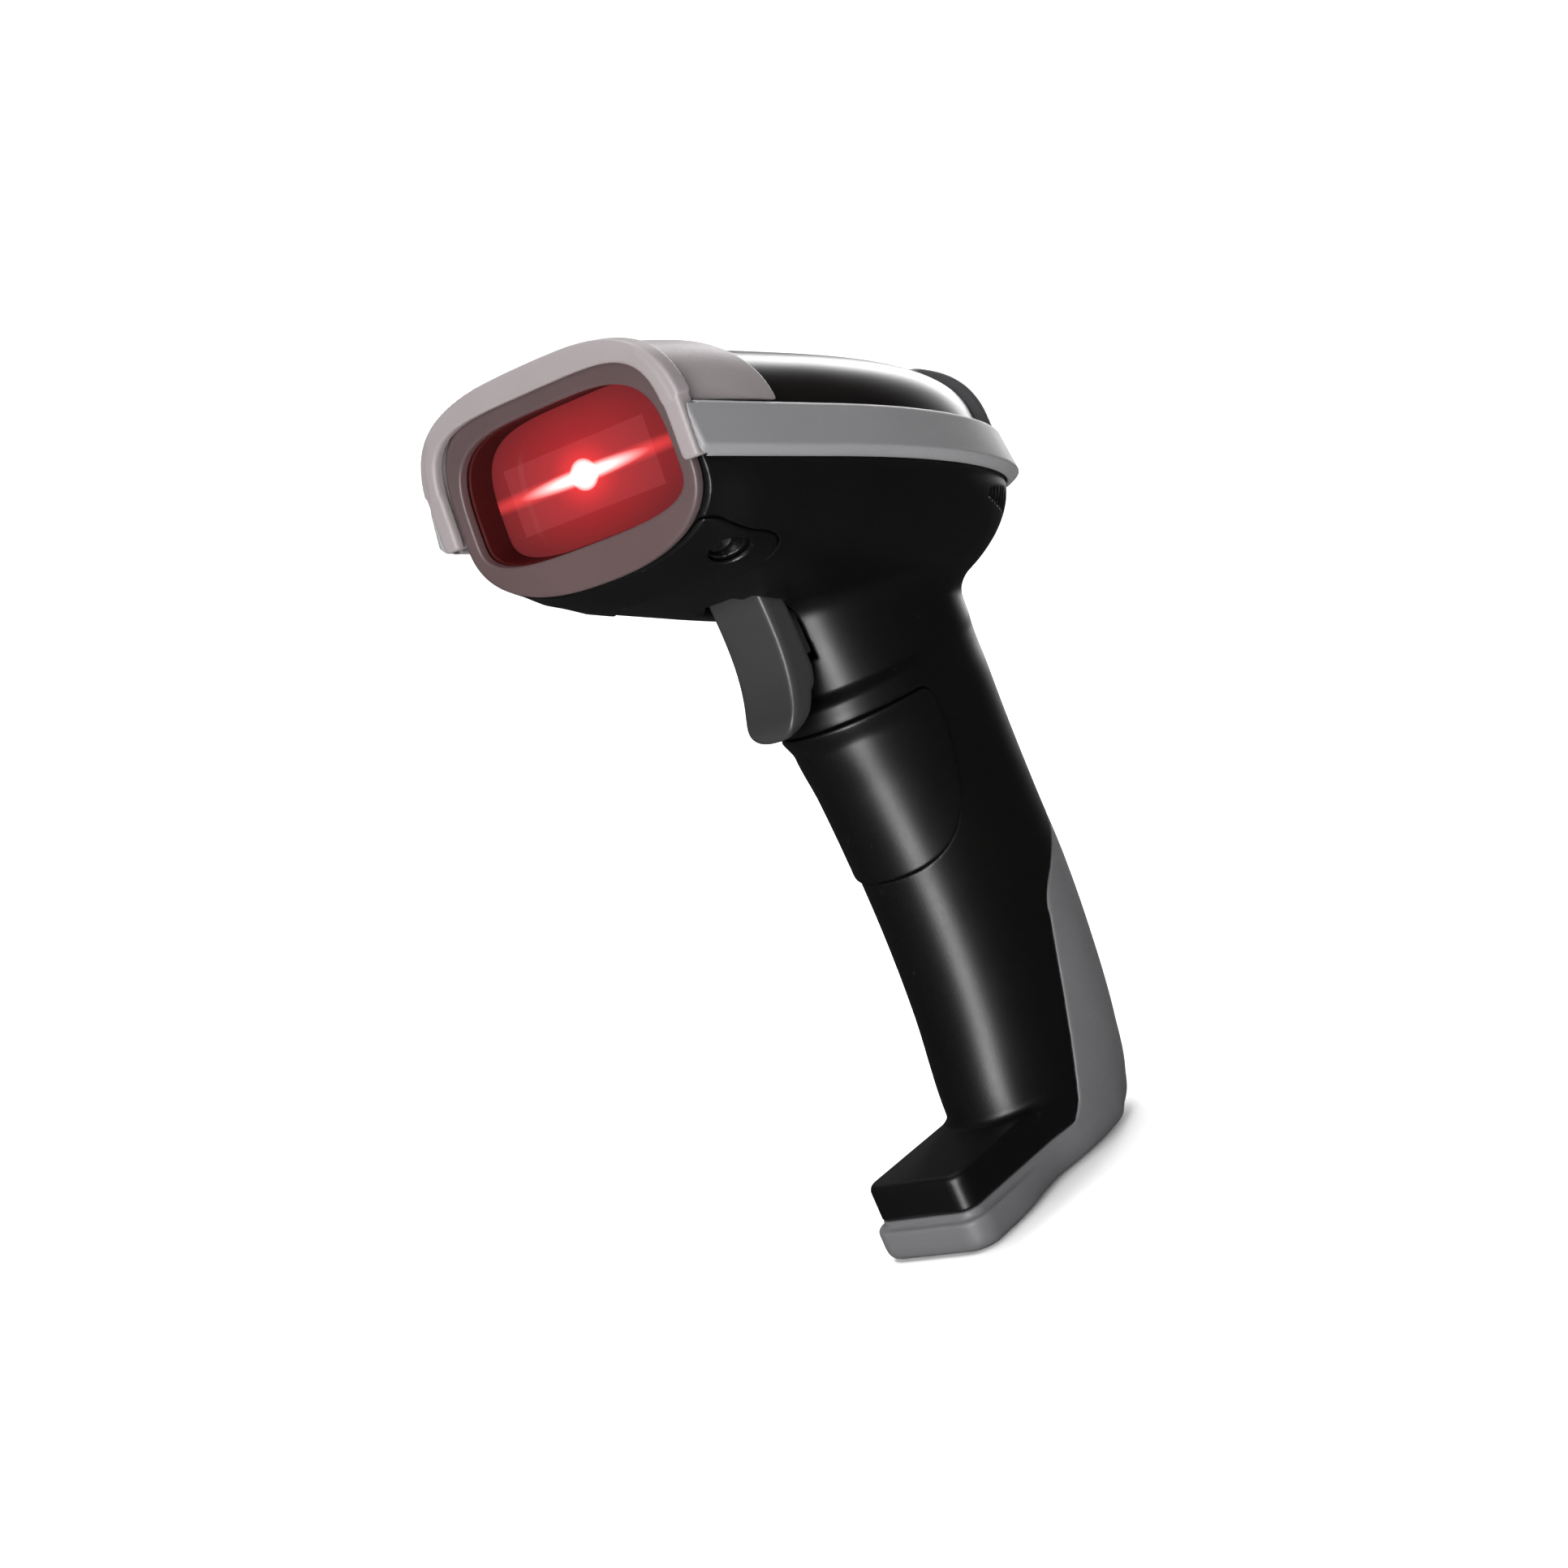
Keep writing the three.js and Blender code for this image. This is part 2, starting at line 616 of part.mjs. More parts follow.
// The chin screws lean outwards: local -z points out of the recess on each side.
function recessFrame(side) {
  return new THREE.Matrix4()
    .makeRotationFromEuler(new THREE.Euler(0, -side * radians(SCREW_RECESS.lean), 0))
    .setPosition(side * SCREW_RECESS.x, SCREW_RECESS.y, -SCREW_RECESS.drop);
}

function alongChinScrews(radius, low, high) {
  const post = rod('z', radius, high - low, [0, 0, (low + high) / 2]);
  return [-1, 1].map((side) => solid(post, recessFrame(side)));
}

function chinPanel() {
  const skin = cut(bowl(CHIN.proud), bowl(-CHIN.depth));
  const body = cut(common(skin, chinRegion(0)), faceCutter(BEZEL.back + GAP, faceToHead));
  return cut(body, ...alongChinScrews(SCREW_RECESS.radius, -8, 4));
}

// Sound slots round the bowl's rear, longest in the middle.
function ventSlots() {
  const { perSide, pitch, tallest, width, z, turnY } = VENTS;
  const tools = [];
  for (let i = -perSide; i <= perSide; i += 1) {
    const height = tallest * Math.sqrt(1 - (i / (perSide + 0.5)) ** 2);
    const turned = new THREE.Matrix4().makeRotationZ(-radians(i * pitch)).setPosition(0, turnY, 0);
    tools.push(solid(box([width, 40, height], [0, 55, z]), turned));
  }
  return tools;
}

// The black core that stays behind the bumper's skin.
function coreBehindBumper(outset) {
  return handle(BUMPER.skin - outset, [
    { z: FOOT.split + 0.1, front: -60, back: 19.0, half: 13.2 },
    ...HANDLE_SECTIONS.slice(1, 6).map((section) => ({ ...section, front: -60 })),
  ]);
}

function bumperSpace(margin) {
  return cut(bumperRegion(-margin), coreBehindBumper(-margin));
}

function mainShell() {
  const bowlShell = cut(common(bowl(0), headSlab(-60, SEAM_Z)), faceCutter(BEZEL.back + GAP, faceToHead));
  const bowlCavity = cut(common(bowl(-WALL, 24), headSlab(-60, SEAM_Z + 1)), faceCutter(BEZEL.back - 3, faceToHead));
  const chinPocket = cut(common(cut(bowl(4), bowl(-CHIN.depth - GAP)), chinRegion(-GAP)), headSlab(-4, 20));
  const inRow = (body) => solid(toGeometry(body), headToRow);
  const outside = join(inRow(bowlShell), lowerBody());
  const ears = [-1, 1].map((side) => solid(box([1.8, 7, 15], [side * 8.4, TRIGGER.pivotY, TRIGGER.pivotZ - 4.2])));
  const panelPocket = common(gripSkin(6, 1.1 + GAP), panelRegion(0));
  const footPocket = solid(loft([footRing(0, -FOOT_WALL), footRing(FOOT.top - FOOT_WALL, -FOOT_WALL)]));
  const floorStrip = solid(box([40, 60, 3], [0, 10, FOOT.split + 1.8]));
  const bosses = alongChinScrews(CHIN_SCREW.bossRadius, -1, CHIN_SCREW.bossTop).map(inRow);
  const wells = alongChinScrews(CHIN_SCREW.well, -8, CHIN_SCREW.seat + GAP).map(inRow);
  const bores = alongChinScrews(CHIN_SCREW.bore, -8, 14).map(inRow);
  const hollow = cut(
    outside,
    inRow(bowlCavity),
    handleCavity(),
    ...ventSlots().map(inRow),
    triggerSlot(),
    panelPocket,
    bumperSpace(GAP),
    cut(footPocket, floorStrip),
  );
  return cut(
    join(hollow, ...ears, ...bosses),
    inRow(chinPocket),
    ...wells,
    ...bores,
    solid(rod('x', TRIGGER.pinRadius + 0.1, 40, [0, TRIGGER.pivotY, TRIGGER.pivotZ])),
  );
}

function rearBumper() {
  const lip = cut(footBlock(FOOT.split - 1.4, BUMPER.frontLip), solid(box([60, 80, 40], [0, 8, 5])));
  const tray = solid(slab(roundedRectangle(-9.4, -40.6, 9.4, 10, 2.5), BUMPER.floor, 40));
  const port = solid(box([PORT.width + 1, PORT.depth + 1, 20], [0, PORT.y, 0]));
  return cut(common(cut(join(lowerBody(), lip), underSole()), bumperSpace(0)), tray, port);
}

// ---------------------------------------------------------------- trigger and switch (row frame)

// The finger face is broad; the blade behind it runs through the narrow slot to the switch.
function trigger() {
  const profile = new THREE.Shape();
  profile.moveTo(-25.0, 121);
  profile.bezierCurveTo(-24.6, 112, -24.6, 105, -28.6, 98.2);
  profile.quadraticCurveTo(-30.4, 95.0, -28.6, 94.2);
  profile.bezierCurveTo(-26, 94.0, -22.8, 97.4, -21.6, 100.2);
  profile.quadraticCurveTo(-20.2, 105, STEM_FRONT, 110);
  profile.quadraticCurveTo(-20.6, 114, -21.4, 118.4);
  profile.lineTo(-17.6, 121.0);
  profile.absarc(TRIGGER.pivotY, TRIGGER.pivotZ, 2.7, radians(-60), radians(120), false);
  profile.lineTo(-22, 123.6);
  const wedges = [-1, 1].map((side) => {
    const wedge = box([8, 12, 60], [0, 0, 0]).rotateZ(side * radians(-38)).translate(side * 11.4, -30.2, 105);
    return solid(wedge);
  });
  const finger = cut(solid(sideways(profile, -TRIGGER.half, TRIGGER.half)), ...wedges);
  const blade = sideways(shapeFrom([[-21.5, 106], [STEM_BACK, 106], [STEM_BACK, 122], [-21.5, 122]]), -STEM_HALF, STEM_HALF);
  return cut(
    join(finger, solid(blade)),
    solid(rod('x', TRIGGER.pinRadius + 0.05, 40, [0, TRIGGER.pivotY, TRIGGER.pivotZ])),
    solid(box([5.4, 7, 6.4], [0, TRIGGER.pivotY + 0.4, TRIGGER.pivotZ])),
  );
}

function triggerSpring() {
  const turns = 4;
  const radius = 2.3;
  class Coil extends THREE.Curve {
    getPoint(t, target = new THREE.Vector3()) {
      const angle = 2 * Math.PI * turns * t;
      return target.set(
        -1.9 + 3.8 * t,
        TRIGGER.pivotY + radius * Math.sin(angle),
        TRIGGER.pivotZ - radius * Math.cos(angle),
      );
    }
  }
  const section = new THREE.Shape();
  section.absarc(0, 0, 0.25, 0, 2 * Math.PI);
  return solid(new THREE.ExtrudeGeometry(section, {
    steps: turns * 10,
    curveSegments: 2,
    bevelEnabled: false,
    extrudePath: new Coil(),
  }));
}

function triggerPin() {
  return rod('x', TRIGGER.pinRadius, 18.6, [0, TRIGGER.pivotY, TRIGGER.pivotZ]);
}

const SWITCH = { front: -10.8, back: -7.0, z: 110.5, boreRadius: 1.7, plungerRadius: 1.5 };

function switchBody() {
  const middle = (SWITCH.front + SWITCH.back) / 2;
  return cut(
    solid(box([7, SWITCH.back - SWITCH.front, 7], [0, middle, SWITCH.z])),
    solid(rod('y', SWITCH.boreRadius, 2.6, [0, SWITCH.front + 1.2, SWITCH.z])),
  );
}

function switchPlunger() {
  return rod('y', SWITCH.plungerRadius, 4.8, [0, SWITCH.front - 1.6, SWITCH.z]);
}

function switchBoard() {
  return box([11, 1.2, 11], [0, SWITCH.back + GAP + 0.6, SWITCH.z - 2.2]);
}

// ---------------------------------------------------------------- scan engine and electronics (head frame)

const ENGINE = { front: 16, back: 30, halfWidth: 17.5, low: -4, high: 11, opticZ: 4, bay: 10.5 };

// A screw along z with its head down: the thread's end is up, and the head has a cross recess.
function screw(headRadius, headHeight, threadRadius, threadLength) {
  const profile = [
    [0, -headHeight],
    [headRadius * 0.85, -headHeight],
    [headRadius, -headHeight * 0.7],
    [headRadius, 0],
    [threadRadius, 0],
    [threadRadius, threadLength - 0.6],
    [threadRadius * 0.5, threadLength],
    [0, threadLength],
  ].map(([r, h]) => new THREE.Vector2(r, h));
  const body = solid(new THREE.LatheGeometry(profile, 16).rotateX(Math.PI / 2));
  const slot = [headRadius * 1.1, headRadius * 0.28, headHeight];
  return cut(
    body,
    solid(box(slot, [0, 0, -headHeight])),
    solid(box([slot[1], slot[0], slot[2]], [0, 0, -headHeight])),
  );
}

function apertureMask() {
  const outline = shapeFrom(egg(WINDOW.halfWidth, WINDOW.up, WINDOW.down, WINDOW.upPower, WINDOW.downPower, 40));
  return cut(
    solid(plate(outline, APERTURE.y, APERTURE.y + 1)),
    solid(box([2 * APERTURE.halfWidth, 10, APERTURE.high - APERTURE.low], [0, APERTURE.y, APERTURE.middle])),
  );
}

function engineHousing() {
  const { front, back, halfWidth, low, high, opticZ, bay } = ENGINE;
  const body = solid(box([2 * halfWidth, back - front, high - low], [0, (front + back) / 2, (low + high) / 2]));
  const bays = [-bay, 0, bay].map((x) => solid(rod('y', 4.3, 8, [x, front, opticZ])));
  return cut(body, ...bays);
}

function engineLens() {
  const profile = [[0, -1.6], [2.2, -1.1], [3.6, 0], [3.6, 2], [0, 2]].map(([r, h]) => new THREE.Vector2(r, h));
  return new THREE.LatheGeometry(profile, 20).translate(-ENGINE.bay, ENGINE.front + 1.6, ENGINE.opticZ);
}

// A domed LED on a square base, looking forward.
function ledAt(x, radius) {
  const profile = [[0, -radius], [radius * 0.7, -radius * 0.7], [radius, 0], [radius, 1.6], [0, 1.6]];
  const points = profile.map(([r, h]) => new THREE.Vector2(r, h));
  return new THREE.LatheGeometry(points, 16).translate(x, ENGINE.front + 2, ENGINE.opticZ);
}

function engineBoard() {
  return box([33, 1.2, 13], [0, ENGINE.back + GAP + 0.6, (ENGINE.low + ENGINE.high) / 2]);
}

// A bent plate under the engine with a lug for a screw on each side.
function engineBracket() {
  const bottom = ENGINE.low - GAP - 1;
  const floor = solid(box([46, 11.2, 1], [0, 24.9, bottom + 0.5]));
  const rear = solid(box([30, 1, 9], [0, 33, bottom + 4.5]));
  const joinRear = solid(box([30, 4, 1], [0, 31.5, bottom + 0.5]));
  const holes = [-1, 1].map((side) => solid(rod('z', 1.3, 6, [side * 20.4, 23, bottom], 12)));
  return cut(join(floor, rear, joinRear), ...holes);
}

const BOARD = { y0: 38, y1: 84, bottom: 0, thickness: 1.2, screwX: 17, screwY: 44 };

function mainBoard() {
  const outline = shapeFrom([[-22, BOARD.y0], [22, BOARD.y0], [22, 66], [13, BOARD.y1], [-13, BOARD.y1], [-22, 66]]);
  const holes = [-1, 1].map((side) => solid(rod('z', 1.4, 6, [side * BOARD.screwX, BOARD.screwY, BOARD.bottom], 12)));
  return cut(solid(slab(outline, BOARD.bottom, BOARD.bottom + BOARD.thickness)), ...holes);
}

function radioCan() {
  return box([18, 16, 2.6], [0, 72, BOARD.bottom + BOARD.thickness + GAP + 1.3]);
}

function decoderChip() {
  return box([13, 13, 1.4], [0, 54, BOARD.bottom + BOARD.thickness + GAP + 0.7]);
}

// The frame that carries the main board: two rails and two cross bars.
function chassisFrame() {
  const top = BOARD.bottom - GAP;
  const rails = [-1, 1].map((side) => solid(box([5, 34, 2.4], [side * 18, 55, top - 1.2])));
  const bars = [41, 69].map((y) => solid(box([36, 4, 2.4], [0, y, top - 1.2])));
  const holes = [-1, 1].map((side) => solid(rod('z', 1.1, 8, [side * BOARD.screwX, BOARD.screwY, top], 12)));
  return cut(join(...rails, ...bars), ...holes);
}

// The flat cable bends from the engine's board down to the front of the main board.
function flatCable() {
  const low = BOARD.bottom + BOARD.thickness + GAP;
  const shape = new THREE.Shape();
  shape.moveTo(34.2, 9);
  shape.bezierCurveTo(34.4, 5, 35.5, low, 39, low);
  shape.lineTo(44, low);
  shape.lineTo(44, low + 0.35);
  shape.lineTo(39, low + 0.35);
  shape.bezierCurveTo(35.9, low + 0.35, 34.8, 5, 34.6, 9);
  return sideways(shape, -6, 6);
}

function buzzer() {
  const profile = [[0, 1], [1.1, 1], [1.1, -2.6], [6, -2.6], [6, 2.6], [0, 2.6]];
  const points = profile.map(([r, h]) => new THREE.Vector2(r, h));
  return new THREE.LatheGeometry(points, ROUND).rotateX(Math.PI / 2).translate(0, 88, -5.5);
}

// ---------------------------------------------------------------- handle contents (row frame)

const BATTERY = { radius: 9.1, length: 65, y: 4.0, low: 20 };

function battery() {
  const end = BATTERY.low + BATTERY.length;
  const can = solid(rod('z', BATTERY.radius, BATTERY.length, [0, BATTERY.y, BATTERY.low + BATTERY.length / 2]));
  return join(can, solid(rod('z', 3, 1.4, [0, BATTERY.y, end + 0.5])));
}

// A saddle in front of the battery holds it against the handle's back.
function batteryCradle() {
  const tall = 56;
  const middle = BATTERY.low + BATTERY.length / 2;
  return cut(
    solid(box([14, 5.6, tall], [0, -5.9, middle])),
    solid(rod('z', BATTERY.radius + GAP, tall + 10, [0, BATTERY.y, middle])),
  );
}

function contactTop() {
  return box([9, 9, 0.6], [0, BATTERY.y, BATTERY.low + BATTERY.length + 1.2 + GAP + 0.3]);
}

// The lower contact is a spring cone of flat turns.
function contactBottom() {
  const profile = [[0, 0], [6, 0], [6, 0.6], [4.6, 1.6], [4.6, 2.2], [3.2, 3.4], [3.2, 4], [0, 4]];
  const points = profile.map(([r, h]) => new THREE.Vector2(r, h));
  return new THREE.LatheGeometry(points, 20).rotateX(Math.PI / 2).translate(0, BATTERY.y, BATTERY.low - GAP - 4);
}

function vibrationMotor() {
  return rod('x', 3.5, 11, [0, 8, 101]);
}

function usbPort() {
  const height = PORT.top - PORT.bottom;
  return cut(
    solid(box([PORT.width, PORT.depth, height], [0, PORT.y, PORT.bottom + height / 2])),
    solid(box([PORT.width - 0.8, PORT.depth - 0.9, 5], [0, PORT.y, PORT.bottom + 2])),
  );
}

function portBoard() {
  return box([16, 15, 1.2], [0, PORT.y - 2, PORT.top + GAP + 0.6]);
}

// ---------------------------------------------------------------- assembly

const scanner = new THREE.Group();
const head = new THREE.Group();
const face = new THREE.Group();
head.position.set(...HEAD_ORIGIN);
head.rotation.x = -radians(HEAD_TILT);
face.rotation.x = radians(HEAD_TILT - FACE_LEAN);
head.add(face);
scanner.add(head);

function addPiece(parent, name, body, look) {
  const geometry = body.isBufferGeometry ? toGeometry(solid(body)) : toGeometry(body);
  const mesh = new THREE.Mesh(geometry, new THREE.MeshStandardMaterial(look));
  mesh.name = name;
  parent.add(mesh);
  return mesh;
}

addPiece(scanner, 'main_shell', mainShell(), BLACK_SATIN);
addPiece(scanner, 'rear_bumper', rearBumper(), SOFT_GREY);
addPiece(scanner, 'grip_panel', gripPanel(), BLACK_SATIN);
addPiece(head, 'nose_bumper', noseBumper(), NOSE_GREY);
addPiece(head, 'head_belt', headBelt(), SOFT_GREY);
addPiece(head, 'top_cover', topCover(), BLACK_GLOSS);
addPiece(head, 'rear_cap', rearCap(), COLLAR_GREY);
addPiece(head, 'chin_panel', chinPanel(), BLACK_SATIN);
addPiece(face, 'bezel_ring', bezelRing(), BEZEL_GREY);
addPiece(face, 'window_tunnel', windowTunnel(), TUNNEL_BLACK);
addPiece(face, 'scan_window', scanWindow(), WINDOW_RED);
addPiece(face, 'window_gasket', windowGasket(), RUBBER_BLACK);
addPiece(face, 'aperture_mask', apertureMask(), TUNNEL_BLACK);

addPiece(scanner, 'trigger', trigger(), TRIGGER_GREY);
addPiece(scanner, 'trigger_pin', triggerPin(), STEEL);
addPiece(scanner, 'trigger_spring', triggerSpring(), STEEL);
addPiece(scanner, 'switch_body', switchBody(), CHIP_BLACK);
addPiece(scanner, 'switch_plunger', switchPlunger(), LED_RED);
addPiece(scanner, 'switch_board', switchBoard(), BOARD_GREEN);

addPiece(head, 'engine_housing', engineHousing(), HOLDER_BLACK);
addPiece(head, 'engine_lens', engineLens(), LENS_GLASS);
addPiece(head, 'engine_aimer', ledAt(0, 3.0), LED_RED);
addPiece(head, 'engine_led', ledAt(ENGINE.bay, 3.4), LED_WHITE);
addPiece(head, 'engine_board', engineBoard(), BOARD_GREEN);
addPiece(head, 'engine_bracket', engineBracket(), STEEL);
addPiece(head, 'main_board', mainBoard(), BOARD_GREEN);
addPiece(head, 'radio_can', radioCan(), STEEL);
addPiece(head, 'decoder_chip', decoderChip(), CHIP_BLACK);
addPiece(head, 'chassis_frame', chassisFrame(), HOLDER_BLACK);
addPiece(head, 'flat_cable', flatCable(), CABLE_AMBER);
addPiece(head, 'buzzer', buzzer(), CHIP_BLACK);

for (const [side, hand] of [[-1, 'right'], [1, 'left']]) {
  const chinScrew = addPiece(head, `chin_screw_${hand}`, screw(2.6, 1.3, 1.2, 5), STEEL);
  chinScrew.applyMatrix4(new THREE.Matrix4().makeTranslation(0, 0, CHIN_SCREW.seat).premultiply(recessFrame(side)));

  const boardScrew = addPiece(head, `board_screw_${hand}`, screw(2.2, 1.2, 0.95, 3), STEEL);
  boardScrew.rotation.x = Math.PI;
  boardScrew.position.set(side * BOARD.screwX, BOARD.screwY, BOARD.bottom + BOARD.thickness + GAP);

  const engineScrew = addPiece(head, `engine_screw_${hand}`, screw(2.2, 1.2, 0.95, 3.4), STEEL);
  engineScrew.rotation.x = Math.PI;
  engineScrew.position.set(side * 20.4, 23, ENGINE.low);
}

addPiece(scanner, 'battery', battery(), BATTERY_BLUE);
addPiece(scanner, 'battery_cradle', batteryCradle(), HOLDER_BLACK);
addPiece(scanner, 'battery_contact_top', contactTop(), STEEL);
addPiece(scanner, 'battery_contact_bottom', contactBottom(), STEEL);
addPiece(scanner, 'vibration_motor', vibrationMotor(), STEEL);
addPiece(scanner, 'usb_port', usbPort(), STEEL);
addPiece(scanner, 'port_board', portBoard(), BOARD_GREEN);

export default scanner;
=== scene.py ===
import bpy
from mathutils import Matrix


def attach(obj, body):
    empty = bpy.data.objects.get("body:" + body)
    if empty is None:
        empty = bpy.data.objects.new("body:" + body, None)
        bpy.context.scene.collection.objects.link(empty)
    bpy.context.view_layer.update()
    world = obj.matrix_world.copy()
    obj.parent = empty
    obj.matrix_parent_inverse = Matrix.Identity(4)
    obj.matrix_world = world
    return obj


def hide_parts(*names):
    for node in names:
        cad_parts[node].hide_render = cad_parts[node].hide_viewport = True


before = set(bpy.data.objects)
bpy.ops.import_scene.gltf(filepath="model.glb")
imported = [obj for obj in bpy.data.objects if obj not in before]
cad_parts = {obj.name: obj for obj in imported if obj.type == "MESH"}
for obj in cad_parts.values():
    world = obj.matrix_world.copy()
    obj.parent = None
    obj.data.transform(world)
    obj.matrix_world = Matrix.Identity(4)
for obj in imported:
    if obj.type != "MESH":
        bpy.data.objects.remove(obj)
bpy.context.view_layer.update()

# A cordless handheld barcode scanner, standing on its foot.
# Each moulding is described by a distance field in millimetres (negative inside) and then skinned.
# Three frames are used: the row frame, the head's frame tilted nose-up, and the face's frame, which
# looks out along -y from the window. Every piece rides on the body that its packed counterpart is in.

import math

import bpy
import numpy as np
import openvdb
from mathutils import Matrix, Vector

MM = 0.001
STEP = 0.3        # spacing of the sampled field, mm
FINE_STEP = 0.2   # the same, for small pieces

# ---------------------------------------------------------------- sizes, mm

HEAD_ORIGIN = (0.0, -53.4, 147.3)
HEAD_TILT = math.radians(17.5)
FACE_LEAN = math.radians(5.7)
GAP = 0.3    # between neighbouring mouldings
WALL = 1.8

BEND_Y = 35.0   # where the head's straight sides start to close
NEARLY_CLOSED = 0.9995   # share of the closing run where the end limit takes over
DOME_HALF, DOME_FRONT_HALF, DOME_RUN, DOME_CROWN, DOME_DROP, DOME_POWER = 30.7, 29.4, 70.2, 23.4, 0.8, 3.4
BOWL_HALF, BOWL_FRONT_HALF, BOWL_RUN, BOWL_DEPTH, BOWL_FRONT_LIFT = 31.2, 28.8, 73.6, 14.2, 2.1
BELT_LOW, BELT_CREASE, BELT_TOP, BELT_FRONT = -0.1, 1.4, 9.3, 0.4
BELT_SECTION = ((BELT_LOW, 32.4, 74.8), (BELT_CREASE, 33.8, 77.2), (8.6, 32.7, 73.7), (BELT_TOP, 32.1, 72.5))
SEAM_Z = 4.0
NOSE_PROUD, NOSE_EDGE_Y = 1.4, 23.0
COVER_END_Y, CAP_PROUD = 82.0, 2.2

RIM_HALF, RIM_UP, RIM_POWER, RIM_DEPTH, RIM_ARM_HALF, RIM_ARM_TOP = 32.9, 24.0, 3.6, 3.2, 32.1, 9.9
RIM_HOLE = dict(half=28.4, up=19.9, down=19.9, up_power=4.6, down_power=4.6)
BEZEL = dict(half=28.6, up=21.4, down=14.1, up_power=3.8, down_power=2.4)
BEZEL_FRONT, BEZEL_BACK = 2.0, 4.0
WINDOW = dict(half=25.6, up=16.9, down=7.2, up_power=3.8, down_power=3.3)
WINDOW_Y, WINDOW_THICK = 10.0, 1.5

HANDLE_POWER = 2.3
HANDLE_SECTIONS = (   # height, front, back, half width
    (-6, -21.0, 4.0, 9.0),
    (0, -21.0, 9.8, 9.6),
    (1.6, -21.0, 13.4, 11.5),
    (3.6, -21.2, 16.0, 12.5),
    (7.9, -21.5, 18.8, 13.0),
    (18, -20.9, 21.6, 13.8),
    (35, -18.0, 24.2, 14.3),
    (49, -16.9, 25.3, 14.5),
    (64, -16.9, 25.3, 14.5),
    (79, -17.8, 25.8, 14.5),
    (90, -19.0, 26.5, 14.7),
    (98.5, -17.2, 27.5, 14.1),
    (105, -16.8, 28.6, 13.8),
    (114, -17.4, 33.0, 14.6),
    (122, -19.0, 38.0, 16.5),
    (130, -21.0, 43.0, 19.0),
)
RING_TOP, RING_LOW, RING_REACH, RING_SIDE = 98.4, 88.0, 2.4, 1.1

FOOT_HALF, FOOT_FRONT, FOOT_BACK, FOOT_CORNER, FOOT_TOP, FOOT_SPLIT = 11.4, -42.8, 8.0, 3.4, 14.5, 7.6
FOOT_WALL = 1.8
SOLE_FLAT_BACK = -3.0
BUMPER_TOP, BUMPER_SKIN, BUMPER_LIP, BUMPER_FLOOR = 48.5, 2.4, 1.6, 2.6
PORT_Y, PORT_WIDTH, PORT_DEPTH = -28.0, 9.0, 3.3
PANEL_LOW, PANEL_HIGH, PANEL_PROUD, PANEL_REAR = 61.6, 92.4, 0.7, -1.6
CHIN_FRONT, CHIN_BACK, CHIN_HALF, CHIN_TONGUE, CHIN_PROUD, CHIN_DEPTH = 3.0, 24.4, 25.2, 14.5, 0.3, 0.7
SCREW_X, SCREW_Y, SCREW_DROP, SCREW_LEAN, RECESS_RADIUS = 19.8, 15.2, 11.8, math.radians(38), 3.4
PANEL_DEPTH = 1.1
POST_RADIUS, POST_BORE, POST_TOP, POST_FLOOR = 3.7, 2.9, 6.4, 2.5
VENTS_PER_SIDE, VENT_PITCH, VENT_TALLEST, VENT_HALF, VENT_DROP = 14, 2.15, 5.0, 0.4, 4.1
VENT_CENTRE_Y, VENT_INNER_RADIUS = BEND_Y + 12, 35.0
TRIGGER_HALF, PIVOT_Y, PIVOT_Z, PIN_RADIUS, HUB_RADIUS, RUNNING_GAP = 6.6, -17.5, 123.8, 1.25, 2.7, 0.05
TRIGGER_TIP_Z = 100.4   # below this the finger's tip is rounded
TRIGGER_SIDE_SLOPE = math.radians(38)
STEM_HALF, STEM_FRONT, STEM_BACK, STEM_Z, STEM_HEIGHT, CLEARANCE = 4.2, -21.5, -15.55, 114, 16, 0.5

# ---------------------------------------------------------------- field arithmetic


def clamp(value, low, high):
    return np.minimum(np.maximum(value, low), high)


def smooth(value):
    t = clamp(value, 0.0, 1.0)
    return t * t * (3 - 2 * t)


def meet(a, b, radius=0.35):
    """Where both solids are, with the edge between them rounded."""
    ease = np.maximum(radius - np.abs(a - b), 0.0)
    return np.maximum(a, b) + ease * ease / (4 * radius)


def join(a, b, radius=0.35):
    """Either solid, with a fillet between them."""
    return -meet(-a, -b, radius)


def cut(a, b, radius=0.35):
    """The first solid without the second, with the new edge rounded."""
    return meet(a, -b, radius)


def pow_norm(u, v, power):
    return (u ** power + v ** power) ** (1 / power)


def as_distance(field, step):
    """Scales a field so that it changes by one millimetre per millimetre."""
    slopes = np.gradient(field, step)
    length = np.sqrt(sum(slope * slope for slope in slopes))
    return field / np.maximum(length, 1e-4)


class Grid:
    """Sample points of one piece, in the frame where it is described."""

    def __init__(self, low, high, step=STEP):
        self.low = low
        self.step = step
        axes = [np.arange(a, b + step, step, dtype=np.float32) for a, b in zip(low, high)]
        self.x = axes[0][:, None, None]
        self.y = axes[1][None, :, None]
        self.z = axes[2][None, None, :]
        self.shape = tuple(len(axis) for axis in axes)

    def full(self, field):
        return np.broadcast_to(field, self.shape)

    def distance(self, field):
        return as_distance(np.ascontiguousarray(self.full(field)), self.step)


def turned(y, z, angle):
    """Coordinates y and z as seen from a frame turned by angle about x."""
    cosine, sine = math.cos(angle), math.sin(angle)
    return y * cosine + z * sine, z * cosine - y * sine


def row_to_head(y, z):
    return turned(y - HEAD_ORIGIN[1], z - HEAD_ORIGIN[2], -HEAD_TILT)


def head_to_face(y, z):
    return turned(y, z, HEAD_TILT - FACE_LEAN)


